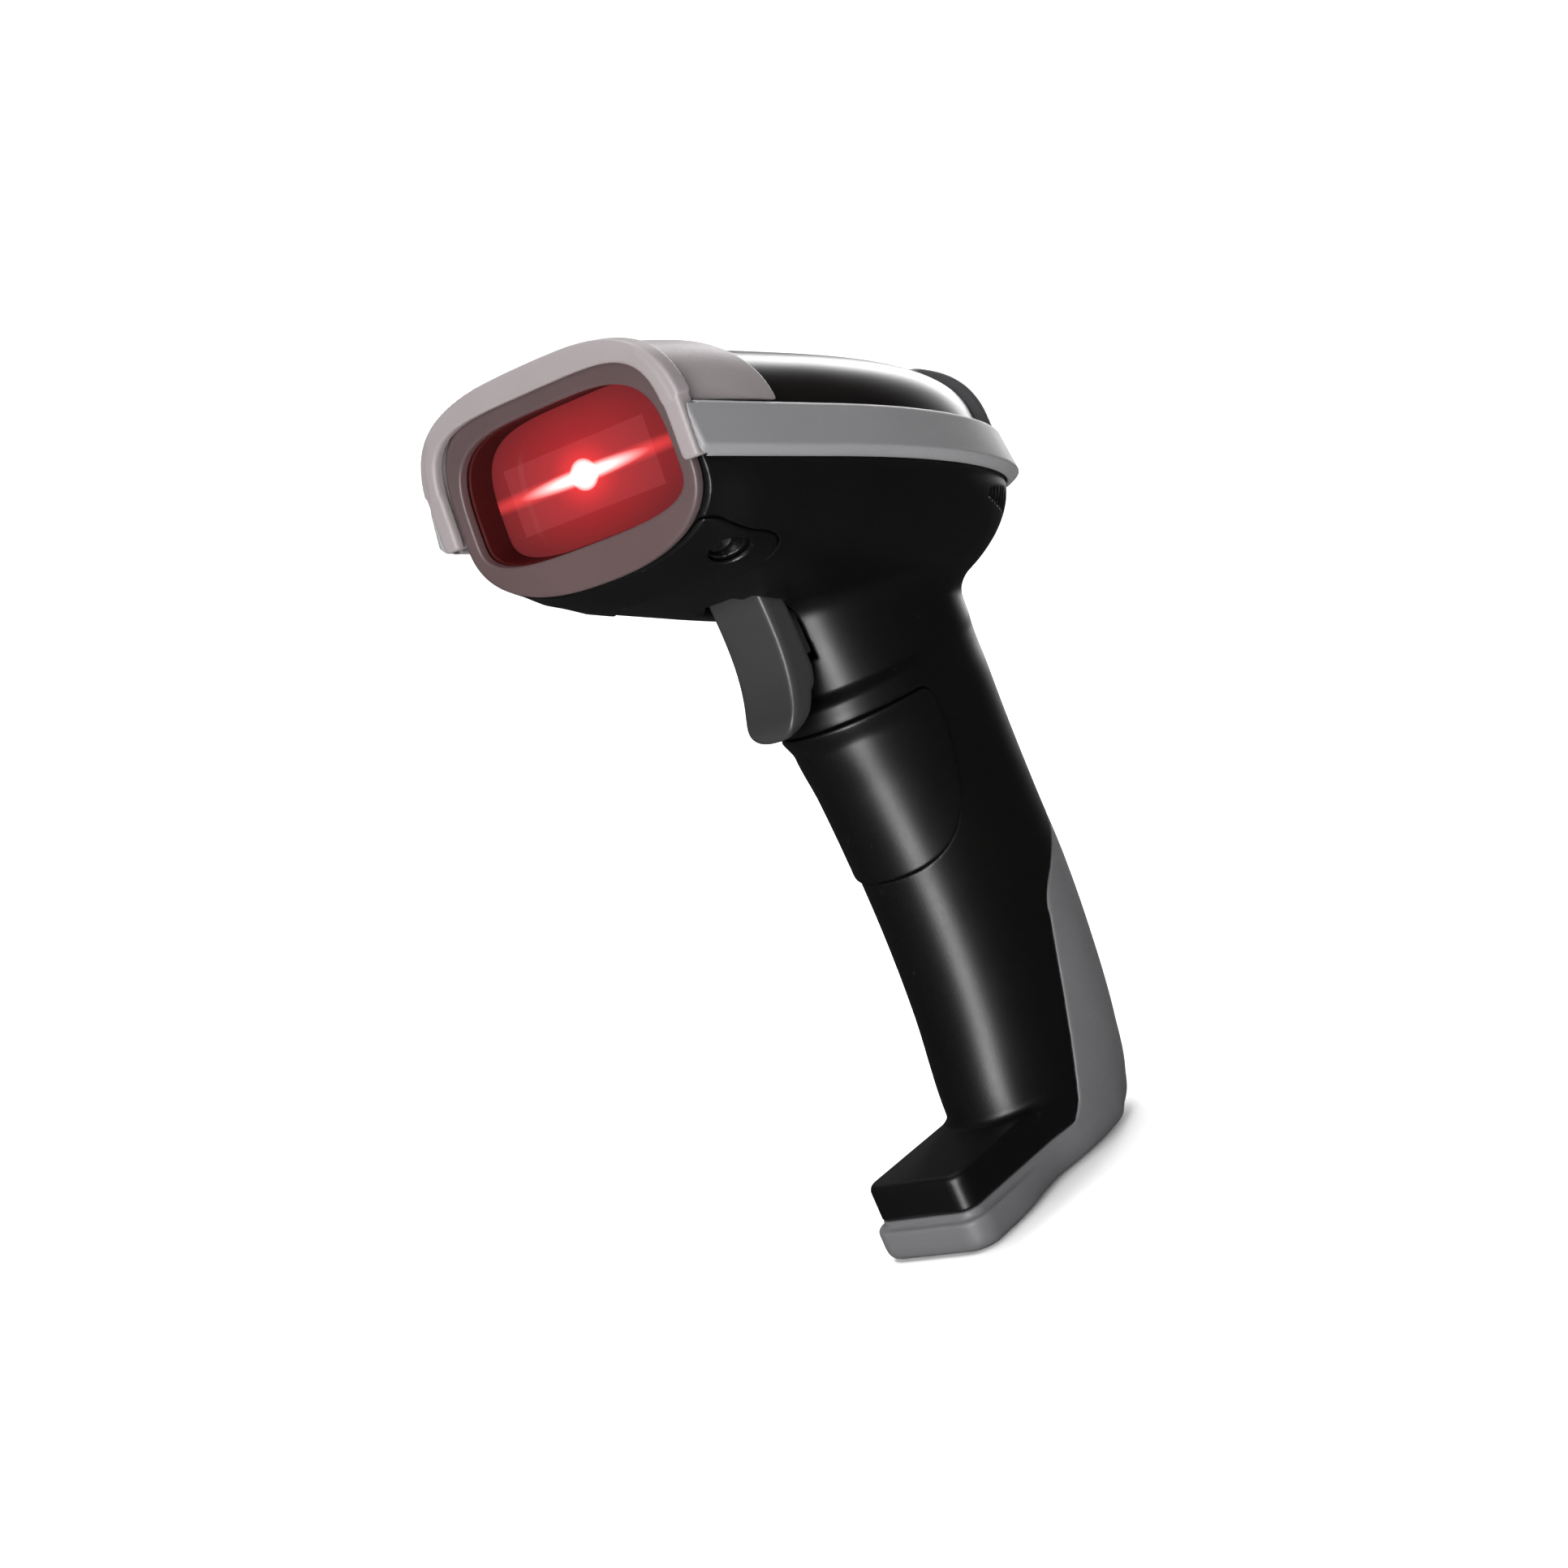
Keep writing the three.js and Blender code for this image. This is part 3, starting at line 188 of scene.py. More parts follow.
ROW = Matrix.Identity(4)
HEAD_TO_ROW = Matrix.Translation(Vector(HEAD_ORIGIN) * MM) @ Matrix.Rotation(-HEAD_TILT, 4, "X")
FACE_TO_ROW = HEAD_TO_ROW @ Matrix.Rotation(HEAD_TILT - FACE_LEAN, 4, "X")


def bezier(points, count=14):
    """Points of a Bezier curve with 3 or 4 control points, without its first point."""
    rows = np.array(points, float)
    order = len(rows) - 1
    t = np.linspace(0, 1, count + 1)[1:, None]
    terms = [math.comb(order, i) * (1 - t) ** (order - i) * t ** i * rows[i] for i in range(order + 1)]
    return sum(terms).tolist()


def outline_field(points, u, v, step=0.3):
    """Distance to a closed outline, for coordinate arrays u and v of any shape."""
    loop = np.array(points, np.float32)
    low_u, high_u = float(u.min()), float(u.max())
    low_v, high_v = float(v.min()), float(v.max())
    grid_u = np.arange(low_u - step, high_u + 2 * step, step, dtype=np.float32)[:, None]
    grid_v = np.arange(low_v - step, high_v + 2 * step, step, dtype=np.float32)[None, :]
    nearest = np.full((grid_u.shape[0], grid_v.shape[1]), 1e6, np.float32)
    inside = np.zeros(nearest.shape, bool)
    for (u0, v0), (u1, v1) in zip(loop, np.roll(loop, -1, axis=0)):
        run_u, run_v = u1 - u0, v1 - v0
        length = max(run_u * run_u + run_v * run_v, 1e-9)
        t = clamp(((grid_u - u0) * run_u + (grid_v - v0) * run_v) / length, 0, 1)
        nearest = np.minimum(nearest, np.hypot(grid_u - u0 - t * run_u, grid_v - v0 - t * run_v))
        if v0 != v1:
            crossing = (v0 > grid_v) != (v1 > grid_v)
            inside ^= crossing & (grid_u < u0 + run_u * (grid_v - v0) / run_v)
    table = np.where(inside, -nearest, nearest)
    at_u = (u - grid_u[0, 0]) / step
    at_v = (v - grid_v[0, 0]) / step
    i, j = np.floor(at_u).astype(np.int32), np.floor(at_v).astype(np.int32)
    fu, fv = at_u - i, at_v - j
    near = table[i, j] * (1 - fv) + table[i, j + 1] * fv
    far = table[i + 1, j] * (1 - fv) + table[i + 1, j + 1] * fv
    return near * (1 - fu) + far * fu


def egg(x, z, half, up, down, up_power, down_power):
    """A closed superellipse, with its own reach and power above and below."""
    above = pow_norm(np.abs(x) / half, np.maximum(z, 0) / up, up_power)
    below = pow_norm(np.abs(x) / half, np.maximum(-z, 0) / down, down_power)
    return np.where(z > 0, above, below) - 1


def box_field(x, y, z, centre, size, radius=0.0):
    gaps = [np.abs(p - c) - s / 2 + radius for p, c, s in zip((x, y, z), centre, size)]
    outer = np.sqrt(sum(np.maximum(gap, 0) ** 2 for gap in gaps))
    inner = np.minimum(np.maximum(np.maximum(gaps[0], gaps[1]), gaps[2]), 0)
    return outer + inner - radius


# ---------------------------------------------------------------- surfaces of the head


def dome_field(grid, x, y, z, grow=0.0):
    """The dome over the head: straight to BEND_Y, closed as half an ellipse behind it."""
    run = DOME_RUN + grow
    t = clamp((y - BEND_Y) / run, 0, NEARLY_CLOSED)
    cosine = np.sqrt(1 - t * t)
    close = (1 - t ** DOME_POWER) ** (1 / DOME_POWER)
    half = (DOME_FRONT_HALF + (DOME_HALF - DOME_FRONT_HALF) * smooth((y + 2) / 18) + grow) * cosine
    crown = (DOME_CROWN - DOME_DROP * (1 - clamp((y + 5) / 20, 0, 1)) ** 2 + grow) * close
    above = pow_norm(np.abs(x) / half, np.maximum(z, 0) / crown, DOME_POWER)
    below = pow_norm(np.abs(x) / half, np.maximum(-z, 0) / (6 * close + 0.2), 2.4)
    return np.maximum(grid.distance(np.where(z > 0, above, below) - 1), y - BEND_Y - run)


def bowl_field(grid, x, y, z):
    """The bowl under the head."""
    t = clamp((y - BEND_Y) / BOWL_RUN, 0, NEARLY_CLOSED)
    power = 2.4 - 0.55 * smooth((y - 15) / 60)
    close = (1 - t ** 1.85) ** (1 / 1.85)
    half = (BOWL_FRONT_HALF + (BOWL_HALF - BOWL_FRONT_HALF) * smooth(y / 16)) * np.sqrt(1 - t * t)
    back = clamp(y - 30, 0, 58)
    lift = BOWL_FRONT_LIFT * (1 - smooth((y - 6) / 11))
    depth = (BOWL_DEPTH - lift + 0.13 * clamp(y, 0, 88) + 0.0011 * back * back) * close
    above = pow_norm(np.abs(x) / half, np.maximum(z, 0) / (12 * close + 0.2), 6.0)
    below = pow_norm(np.abs(x) / half, np.maximum(-z, 0) / depth, power)
    return np.maximum(grid.distance(np.where(z > 0, above, below) - 1), y - BEND_Y - BOWL_RUN)


def plan_field(x, y, half, run):
    """The head's outline seen from above, as a share of its reach."""
    return np.where(y > BEND_Y, np.hypot(x / half, (y - BEND_Y) / run), np.abs(x) / half) - 1


def rim_field(grid, x, y, z):
    """The rim round the face: an upside-down U that stops at the height of its origin."""
    outline = grid.distance(egg(x, z, RIM_HALF, RIM_UP, RIM_UP, RIM_POWER, RIM_POWER))
    arm_half = RIM_ARM_HALF + (RIM_HALF - RIM_ARM_HALF) * smooth((z - RIM_ARM_TOP) / 0.8)
    outline = meet(outline, np.abs(x) - arm_half, 0.2)
    outline = meet(outline, -z - 0.1, 0.6)
    return meet(meet(outline, -y, 0.8), y - RIM_DEPTH, 0.4)


def mirror_outline(half_points):
    """Adds the mirror image of points given from the +x side to the middle."""
    return half_points + [[-u, v] for u, v in reversed(half_points)]


def nose_outline(margin):
    edge = NOSE_EDGE_Y + margin
    half = [[40, -30], [40, edge], [32, edge]]
    half += bezier([(32, edge), (29, edge - 4), (22, edge - 8.5)])
    half += bezier([(22, edge - 8.5), (12, edge - 13), (0, edge - 13)])
    return mirror_outline(half)


def cover_outline(margin):
    end = COVER_END_Y - margin
    side = 0.6 * margin
    half = [[45, -30], [45, end + 14], [19.5 + side, end + 11]]
    half += bezier([(19.5 + side, end + 11), (15.5 + side, end + 5.5), (12 + side, end + 2)])
    half += bezier([(12 + side, end + 2), (6, end), (0, end)])
    return mirror_outline(half)


def chin_outline(margin):
    half, back, tongue = CHIN_HALF - margin, CHIN_BACK - margin, CHIN_TONGUE - margin
    side = [[half, CHIN_FRONT], [half, back - 5]]
    side += bezier([(half, back - 5), (half, back), (half - 4, back)])
    side += bezier([(half - 4, back), (half - 10, back + 1), (13, tongue), (0, tongue)])
    return mirror_outline(side)


def chin_recess(x, y, z, radius, floor):
    """A round well on each side, leaning outwards, open downwards and closed at its floor."""
    dx = np.abs(x) - SCREW_X
    dz = z + SCREW_DROP
    along = -dx * math.sin(SCREW_LEAN) + dz * math.cos(SCREW_LEAN)
    across = dx * math.cos(SCREW_LEAN) + dz * math.sin(SCREW_LEAN)
    return np.maximum(np.hypot(across, y - SCREW_Y) - radius, along - floor)


def nose_bumper_field(grid):
    face_y, face_z = head_to_face(grid.y, grid.z)
    dome = dome_field(grid, grid.x, grid.y, grid.z)
    hood = meet(dome - NOSE_PROUD, outline_field(nose_outline(0), grid.x, grid.y), 0.9)
    hood = meet(hood, BELT_TOP + GAP - grid.z, 0.4)
    hood = meet(hood, -face_y, 0.4)
    body = join(rim_field(grid, grid.x, face_y, face_z), hood, 1.1)
    hole = grid.distance(egg(grid.x, face_z, **RIM_HOLE))
    hole = np.maximum(hole, face_y - BEZEL_FRONT)
    back_hole = grid.distance(egg(grid.x, face_z, **BEZEL)) - GAP
    back_hole = np.maximum(np.maximum(back_hole, face_y - 12), BEZEL_FRONT - 0.1 - face_y)
    body = cut(body, hole, 0.9)
    body = cut(body, back_hole, 0.2)
    return cut(body, np.maximum(dome - GAP, BEZEL_BACK - face_y), 0.2)


def head_belt_field(grid):
    face_y, face_z = head_to_face(grid.y, grid.z)
    heights = [row[0] for row in BELT_SECTION]
    half = np.interp(grid.z, heights, [row[1] for row in BELT_SECTION])
    run = np.interp(grid.z, heights, [row[2] for row in BELT_SECTION])
    outer = grid.distance(plan_field(grid.x, grid.y, half, run))
    outer = meet(meet(outer, grid.z - BELT_TOP, 0.9), BELT_LOW - grid.z, 0.6)
    bowl_core = grid.distance(plan_field(grid.x, grid.y, BOWL_HALF, BOWL_RUN)) - GAP
    dome_core = grid.distance(plan_field(grid.x, grid.y, DOME_HALF, DOME_RUN)) - GAP
    core = np.where(grid.z < SEAM_Z + 0.1, bowl_core, dome_core)
    body = cut(outer, core, 0.3)
    body = meet(body, BELT_FRONT - face_y, 0.9)
    return cut(body, rim_field(grid, grid.x, face_y, face_z) - GAP, 0.2)


def upper_shell_field(grid):
    face_y, _ = head_to_face(grid.y, grid.z)
    dome = dome_field(grid, grid.x, grid.y, grid.z)
    shell = np.maximum(dome, -(dome + WALL))
    shell = np.maximum(shell, SEAM_Z + GAP / 2 - grid.z)
    return np.maximum(shell, BEZEL_BACK + GAP - face_y)


def top_cover_field(grid):
    return meet(upper_shell_field(grid), outline_field(cover_outline(0), grid.x, grid.y), 0.4)


def rear_cap_field(grid):
    """The tail cap, which stands proud of the top cover above the belt."""
    dome = dome_field(grid, grid.x, grid.y, grid.z)
    crest = dome_field(grid, grid.x, grid.y, grid.z, CAP_PROUD)
    crest = meet(crest, BELT_TOP + GAP - grid.z, 0.3)
    body = np.maximum(np.minimum(dome, crest), SEAM_Z + GAP / 2 - grid.z)
    body = np.maximum(body, -(dome + WALL))
    return cut(body, outline_field(cover_outline(-GAP), grid.x, grid.y), 1.2)


def chin_panel_field(grid):
    face_y, _ = head_to_face(grid.y, grid.z)
    bowl = bowl_field(grid, grid.x, grid.y, grid.z)
    skin = meet(bowl - CHIN_PROUD, -(bowl + CHIN_DEPTH), 0.3)
    region = outline_field(chin_outline(0), grid.x, grid.y)
    body = meet(meet(skin, region, 0.5), grid.z + 8.5, 0.5)
    body = meet(body, BEZEL_BACK + GAP - face_y, 0.3)
    return cut(body, chin_recess(grid.x, grid.y, grid.z, RECESS_RADIUS, 4), 0.6)


# ---------------------------------------------------------------- pieces of the face


def prism(grid, outline, front, back, radius=0.4):
    body = grid.distance(egg(grid.x, grid.z, **outline))
    return meet(meet(body, front - grid.y, radius), grid.y - back, radius)


def grown(outline, amount):
    wider = dict(outline)
    for key in ("half", "up", "down"):
        wider[key] += amount
    return wider


def bezel_field(grid):
    opening = grid.distance(egg(grid.x, grid.z, **WINDOW))
    return cut(prism(grid, BEZEL, BEZEL_FRONT, BEZEL_BACK, 0.7), opening, 0.5)


def tunnel_field(grid):
    outer = prism(grid, grown(WINDOW, 0.7), BEZEL_BACK + GAP, WINDOW_Y - GAP, 0.2)
    return cut(outer, grid.distance(egg(grid.x, grid.z, **grown(WINDOW, -0.2))), 0.2)


def window_field(grid):
    return prism(grid, grown(WINDOW, 0.7), WINDOW_Y, WINDOW_Y + WINDOW_THICK, 0.3)


# ---------------------------------------------------------------- handle, neck and foot


def section_curve(z, column):
    """A smooth curve through the handle's sections, for front, back or half width."""
    heights = np.array([row[0] for row in HANDLE_SECTIONS], float)
    values = np.array([row[column] for row in HANDLE_SECTIONS], float)
    slopes = np.gradient(values, heights)
    i = clamp(np.searchsorted(heights, z, side="right") - 1, 0, len(heights) - 2).astype(int)
    span = heights[i + 1] - heights[i]
    t = clamp((z - heights[i]) / span, 0, 1)
    return (
        values[i] * (1 + 2 * t) * (1 - t) ** 2
        + values[i + 1] * t * t * (3 - 2 * t)
        + span * t * (1 - t) * (slopes[i] * (1 - t) - slopes[i + 1] * t)
    ).astype(np.float32)


def handle_field(grid):
    front, back, half = (section_curve(grid.z, column) for column in (1, 2, 3))
    bulge = smooth((RING_TOP - grid.z) / 2.6) * smooth((grid.z - RING_LOW) / 6)
    ahead = smooth((12 - grid.y) / 20) * bulge
    front = front - RING_REACH * bulge
    half = half + RING_SIDE * ahead
    middle = (front + back) / 2
    field = pow_norm(np.abs(grid.x) / half, np.abs(grid.y - middle) / (back - front) * 2, HANDLE_POWER) - 1
    return grid.distance(field)


def foot_field(grid, top, grow, edge=2.4):
    """The foot's plate, with rounded corners and a rounded lower edge."""
    centre = (0, (FOOT_FRONT + FOOT_BACK) / 2)
    half = (FOOT_HALF + grow, (FOOT_BACK - FOOT_FRONT) / 2 + grow)
    corner = FOOT_CORNER + grow
    gap_x = np.abs(grid.x) - half[0] + corner
    gap_y = np.abs(grid.y - centre[1]) - half[1] + corner
    outside = np.hypot(np.maximum(gap_x, 0), np.maximum(gap_y, 0))
    outline = outside + np.minimum(np.maximum(gap_x, gap_y), 0) - corner
    return meet(meet(outline, -grid.z, 2 * edge), grid.z - top, 1.6)


def bumper_outline(margin):
    """Side view of the space that the grey bumper takes, under the foot and up the handle's back."""
    edge = -margin
    top = BUMPER_TOP
    split = FOOT_SPLIT + margin
    points = [[-60, -5], [60, -5], [60, top + 20], [22 + edge, top + 10 + margin], [8.4 + edge, top]]
    points += bezier([(8.4 + edge, top), (5.2 + edge, top - 2.5), (5.0 + edge, top - 5.5)])
    points += [[-5.5 + edge, FOOT_SPLIT + 5]]
    points += bezier([(-5.5 + edge, FOOT_SPLIT + 5), (-7, split), (-12, split)])
    return points + [[-60, split]]


def bumper_space(grid, handle, margin):
    region = outline_field(bumper_outline(margin), grid.y, grid.z)
    core = handle + BUMPER_SKIN - margin
    core = np.maximum(core, FOOT_SPLIT + 0.1 - grid.z)
    ahead = np.maximum(np.abs(grid.x) - 14.5 + BUMPER_SKIN, np.maximum(grid.y - 4, FOOT_SPLIT + 0.1 - grid.z))
    return np.maximum(region, -np.minimum(core, ahead))


def under_sole(grid):
    points = [[-60, -20], [60, -20], [60, 20], [16, 3.6]]
    points += bezier([(16, 3.6), (10, 0.4), (SOLE_FLAT_BACK, 0)]) + [[-60, 0]]
    return outline_field(points, grid.y, grid.z)


def lower_body(grid, handle):
    """Handle and foot as one flowing solid."""
    standing = meet(handle, -grid.z, 1.5)
    return join(standing, foot_field(grid, FOOT_TOP, 0), 1.6)


def panel_outline(margin):
    rear = PANEL_REAR - margin
    low, high = PANEL_LOW + margin, PANEL_HIGH - margin
    points = [[-40, high], [rear - 3.5, high]]
    points += bezier([(rear - 3.5, high), (rear, high), (rear, high - 5)])
    points += bezier([(rear, high - 5), (rear, 74), (-6, low), (-20, low)]) + [[-40, low]]
    return points


def trigger_slot(grid):
    wide = [[-30, 116], [-21, 116], [-18.5, 118.5], [-12.6, 119.5], [-12.6, 127], [-21, 127], [-26.2, 122]]
    narrow = [[-30, 104.6], [-12.2, 104.6], [-12.2, 122], [-30, 122]]
    broad = np.maximum(outline_field(wide, grid.y, grid.z), np.abs(grid.x) - TRIGGER_HALF - CLEARANCE)
    blade = np.maximum(outline_field(narrow, grid.y, grid.z), np.abs(grid.x) - STEM_HALF - CLEARANCE)
    return np.minimum(broad, blade)


def vent_slots(grid, x, y, z):
    """Sound slots round the bowl's rear, longest in the middle."""
    slots = np.full(grid.shape, 50.0, np.float32)
    for i in range(-VENTS_PER_SIDE, VENTS_PER_SIDE + 1):
        angle = math.radians(i * VENT_PITCH)
        height = VENT_TALLEST * math.sqrt(1 - (i / (VENTS_PER_SIDE + 0.5)) ** 2)
        dy = y - VENT_CENTRE_Y
        across = x * math.cos(angle) - dy * math.sin(angle)
        along = x * math.sin(angle) + dy * math.cos(angle)
        slot = np.maximum(np.abs(across) - VENT_HALF, np.abs(z + VENT_DROP) - height / 2)
        slots = np.minimum(slots, np.maximum(slot, VENT_INNER_RADIUS - along))
    return slots


def main_shell_field(grid):
    head_y, head_z = row_to_head(grid.y, grid.z)
    face_y, _ = head_to_face(head_y, head_z)
    bowl = bowl_field(grid, grid.x, head_y, head_z)
    handle = handle_field(grid)
    under_head = meet(bowl, head_z - SEAM_Z, 0.3)
    body = join(under_head, np.maximum(lower_body(grid, handle), grid.z - 126), 3.2)
    body = np.maximum(body, BEZEL_BACK + GAP - face_y)

    hollow = np.maximum(bowl + WALL, head_z - SEAM_Z - 1)
    inner = np.where(grid.z > 56, handle + WALL, handle + WALL + BUMPER_SKIN)
    inner = np.maximum(inner, np.maximum(FOOT_SPLIT + 2.6 - grid.z, grid.z - 118))
    foot_pocket = np.maximum(foot_field(grid, FOOT_TOP, 0, 0.1) + FOOT_WALL, grid.y + 19)
    body = cut(body, np.minimum(np.minimum(hollow, inner), foot_pocket), 0.3)

    chin = outline_field(chin_outline(-GAP), grid.x, head_y)
    chin = np.maximum(np.maximum(chin, -(bowl + CHIN_DEPTH + GAP)), head_z + 8.5 - GAP)
    body = cut(body, chin, 0.2)
    post = chin_recess(grid.x, head_y, head_z, POST_RADIUS, POST_TOP)
    body = np.minimum(body, np.maximum(post, bowl + CHIN_DEPTH + 2 * GAP))
    body = np.maximum(body, -chin_recess(grid.x, head_y, head_z, POST_BORE, POST_FLOOR))
    body = cut(body, vent_slots(grid, grid.x, head_y, head_z), 0.3)
    body = cut(body, trigger_slot(grid), 0.5)
    panel = np.maximum(outline_field(panel_outline(0), grid.y, grid.z), -(handle + PANEL_DEPTH + GAP))
    body = cut(body, panel, 0.3)
    return cut(body, bumper_space(grid, handle, GAP), 0.3)


def grip_panel_field(grid):
    handle = handle_field(grid)
    skin = meet(handle - PANEL_PROUD, -(handle + PANEL_DEPTH), 0.3)
    return meet(skin, outline_field(panel_outline(GAP), grid.y, grid.z), 0.7)


def rear_bumper_field(grid):
    handle = handle_field(grid)
    reach = BUMPER_LIP * smooth((-14 - grid.y) / 20)
    lip = meet(foot_field(grid, FOOT_SPLIT - 1.4, 0) - reach, grid.z - FOOT_SPLIT + 1.4, 0.8)
    body = join(lower_body(grid, handle), lip, 0.8)
    body = cut(body, under_sole(grid), 1.6)
    body = meet(body, bumper_space(grid, handle, 0.0), 0.45)
    tray = box_field(grid.x, grid.y, grid.z, (0, -15.3, 20 + BUMPER_FLOOR), (18.8, 50.6, 40))
    port = box_field(grid.x, grid.y, grid.z, (0, PORT_Y, 0), (PORT_WIDTH + 1, PORT_DEPTH + 1, 20), 1.8)
    return cut(cut(body, tray, 0.3), port, 0.3)


# ---------------------------------------------------------------- trigger


def trigger_outline():
    """Side view: down the finger's hollow front, round its tip, up its back and over the hub."""
    points = [[-25.0, 121]]
    points += bezier([(-25.0, 121), (-24.6, 112), (-24.6, 105), (-28.6, 98.2)])
    points += bezier([(-28.6, 98.2), (-30.4, 95.0), (-28.6, 94.2)])
    points += bezier([(-28.6, 94.2), (-26, 94.0), (-22.8, 97.4), (-21.6, 100.2)])
    points += bezier([(-21.6, 100.2), (-19.4, 101.2), (-18.8, 104.5)])
    points += [[-18.6, 112], [-19.0, 118.4], [-17.6, 121.0]]
    hub_angles = np.radians(np.linspace(-60, 120, 13))
    points += [[PIVOT_Y + HUB_RADIUS * math.cos(a), PIVOT_Z + HUB_RADIUS * math.sin(a)] for a in hub_angles]
    return points + [[-22, 123.6]]


def trigger_field(grid):
    """The finger with its sloping sides, and the narrow stem behind it that pushes the switch."""
    outline = outline_field(trigger_outline(), grid.y, grid.z)
    finger = meet(outline, np.abs(grid.x) - TRIGGER_HALF, 1.6)
    outwards, forwards = math.cos(TRIGGER_SIDE_SLOPE), math.sin(TRIGGER_SIDE_SLOPE)
    sides = (np.abs(grid.x) - 11.4) * outwards - (grid.y + 30.2) * forwards + 4
    finger = meet(finger, sides, 0.35)
    tip = np.hypot(grid.x, np.maximum(TRIGGER_TIP_Z - grid.z, 0)) - TRIGGER_HALF - 0.1
    finger = meet(finger, tip, 1.0)
    stem_centre = (0, (STEM_FRONT + STEM_BACK) / 2, STEM_Z)
    stem_size = (2 * STEM_HALF, STEM_BACK - STEM_FRONT, STEM_HEIGHT)
    stem = box_field(grid.x, grid.y, grid.z, stem_centre, stem_size, 0.3)
    body = np.minimum(finger, stem)
    from_pivot = np.hypot(grid.y - PIVOT_Y, grid.z - PIVOT_Z)
    body = np.maximum(body, PIN_RADIUS + RUNNING_GAP - from_pivot)
    spring_space = box_field(grid.x, grid.y, grid.z, (0, PIVOT_Y + 0.4, PIVOT_Z), (5.4, 7, 6.4))
    return np.maximum(body, -spring_space)


# ---------------------------------------------------------------- skinning


def skin(name, grid, field, frame_matrix):
    """Makes a mesh object of the surface where the field is zero."""
    band = 3 * grid.step
    values = np.ascontiguousarray(clamp(grid.full(field), -band, band), dtype=np.float32)
    volume = openvdb.FloatGrid(background=band)
    volume.copyFromArray(values)
    points, triangles, quads = volume.convertToPolygons(isovalue=0.0, adaptivity=0.0)
    points = points * grid.step + np.array(grid.low, np.float32)
    corners = np.concatenate([quads.ravel(), triangles.ravel()]).astype(np.int32)
    starts = np.concatenate([
        np.arange(len(quads)) * 4,
        4 * len(quads) + np.arange(len(triangles)) * 3,
    ]).astype(np.int32)
    mesh = bpy.data.meshes.new(name)
    mesh.vertices.add(len(points))
    mesh.vertices.foreach_set("co", points.astype(np.float32).ravel())
    mesh.loops.add(len(corners))
    mesh.loops.foreach_set("vertex_index", corners)
    mesh.polygons.add(len(starts))
    mesh.polygons.foreach_set("loop_start", starts)
    mesh.polygons.foreach_set("use_smooth", np.ones(len(starts), bool))
    mesh.update(calc_edges=True)
    mesh.transform(Matrix.Scale(MM, 4))
    made = bpy.data.objects.new(name, mesh)
    made.matrix_world = frame_matrix
    bpy.context.scene.collection.objects.link(made)
    return made


# ---------------------------------------------------------------- materials


class Nodes:
    """A short way to wire a material's nodes."""

    def __init__(self, name):
        self.material = bpy.data.materials.new(name)
        self.material.use_nodes = True
        self.tree = self.material.node_tree
        self.tree.nodes.clear()
        self.output = self.tree.nodes.new("ShaderNodeOutputMaterial")

    def add(self, kind, **settings):
        node = self.tree.nodes.new("ShaderNode" + kind)
        for key, value in settings.items():
            if hasattr(node, key):
                setattr(node, key, value)
            else:
                node.inputs[key.replace("_", " ")].default_value = value
        return node

    def link(self, source, target):
        self.tree.links.new(source, target)


def noise(nodes, place, scale, detail=3.0):
    node = nodes.add("TexNoise", Scale=scale, Detail=detail)
    nodes.link(place, node.inputs["Vector"])
    return node.outputs["Fac"]


def ramp(nodes, source, low, high, from_low=0.3, from_high=0.7):
    node = nodes.add("MapRange")
    node.inputs["From Min"].default_value = from_low
    node.inputs["From Max"].default_value = from_high
    node.inputs["To Min"].default_value = low
    node.inputs["To Max"].default_value = high
    nodes.link(source, node.inputs["Value"])
    return node.outputs["Result"]


def moulded(
    name, color, roughness, grain=2600.0, grain_depth=0.03, wear=0.25, specular=0.5, metallic=0.0, patchy=1.0
):
    """Moulded plastic or sheet metal: fine grain, patchy sheen and edges rubbed a little paler."""
    nodes = Nodes(name)
    place = nodes.add("TexCoord").outputs["Object"]
    shader = nodes.add("BsdfPrincipled", Metallic=metallic)
    shader.inputs["Specular IOR Level"].default_value = specular

    patches = ramp(nodes, noise(nodes, place, 90.0), -0.04 * patchy, 0.04 * patchy)
    fine = ramp(nodes, noise(nodes, place, grain * 0.6), -0.03 * patchy, 0.03 * patchy)
    sheen = nodes.add("Math", operation="ADD")
    nodes.link(patches, sheen.inputs[0])
    nodes.link(fine, sheen.inputs[1])
    total = nodes.add("Math", operation="ADD", use_clamp=True)
    nodes.link(sheen.outputs[0], total.inputs[0])
    total.inputs[1].default_value = roughness
    nodes.link(total.outputs[0], shader.inputs["Roughness"])

    edges = ramp(nodes, nodes.add("NewGeometry").outputs["Pointiness"], 0.0, wear, 0.52, 0.62)
    rubbed = nodes.add("Math", operation="MULTIPLY")
    nodes.link(edges, rubbed.inputs[0])
    nodes.link(ramp(nodes, noise(nodes, place, 160.0, 6.0), 0.2, 1.0), rubbed.inputs[1])
    mix = nodes.add("Mix", data_type="RGBA")
    mix.inputs["A"].default_value = (*color, 1)
    mix.inputs["B"].default_value = (*[min(1.0, c * 1.6 + 0.03) for c in color], 1)
    nodes.link(rubbed.outputs[0], mix.inputs["Factor"])
    tone = nodes.add("HueSaturation")
    nodes.link(ramp(nodes, noise(nodes, place, 40.0), 0.95, 1.05), tone.inputs["Value"])
    nodes.link(mix.outputs["Result"], tone.inputs["Color"])
    nodes.link(tone.outputs["Color"], shader.inputs["Base Color"])

    bump = nodes.add("Bump", Strength=0.5, Distance=grain_depth * MM)
    nodes.link(noise(nodes, place, grain), bump.inputs["Height"])
    nodes.link(bump.outputs["Normal"], shader.inputs["Normal"])
    nodes.link(shader.outputs["BSDF"], nodes.output.inputs["Surface"])
    return nodes.material


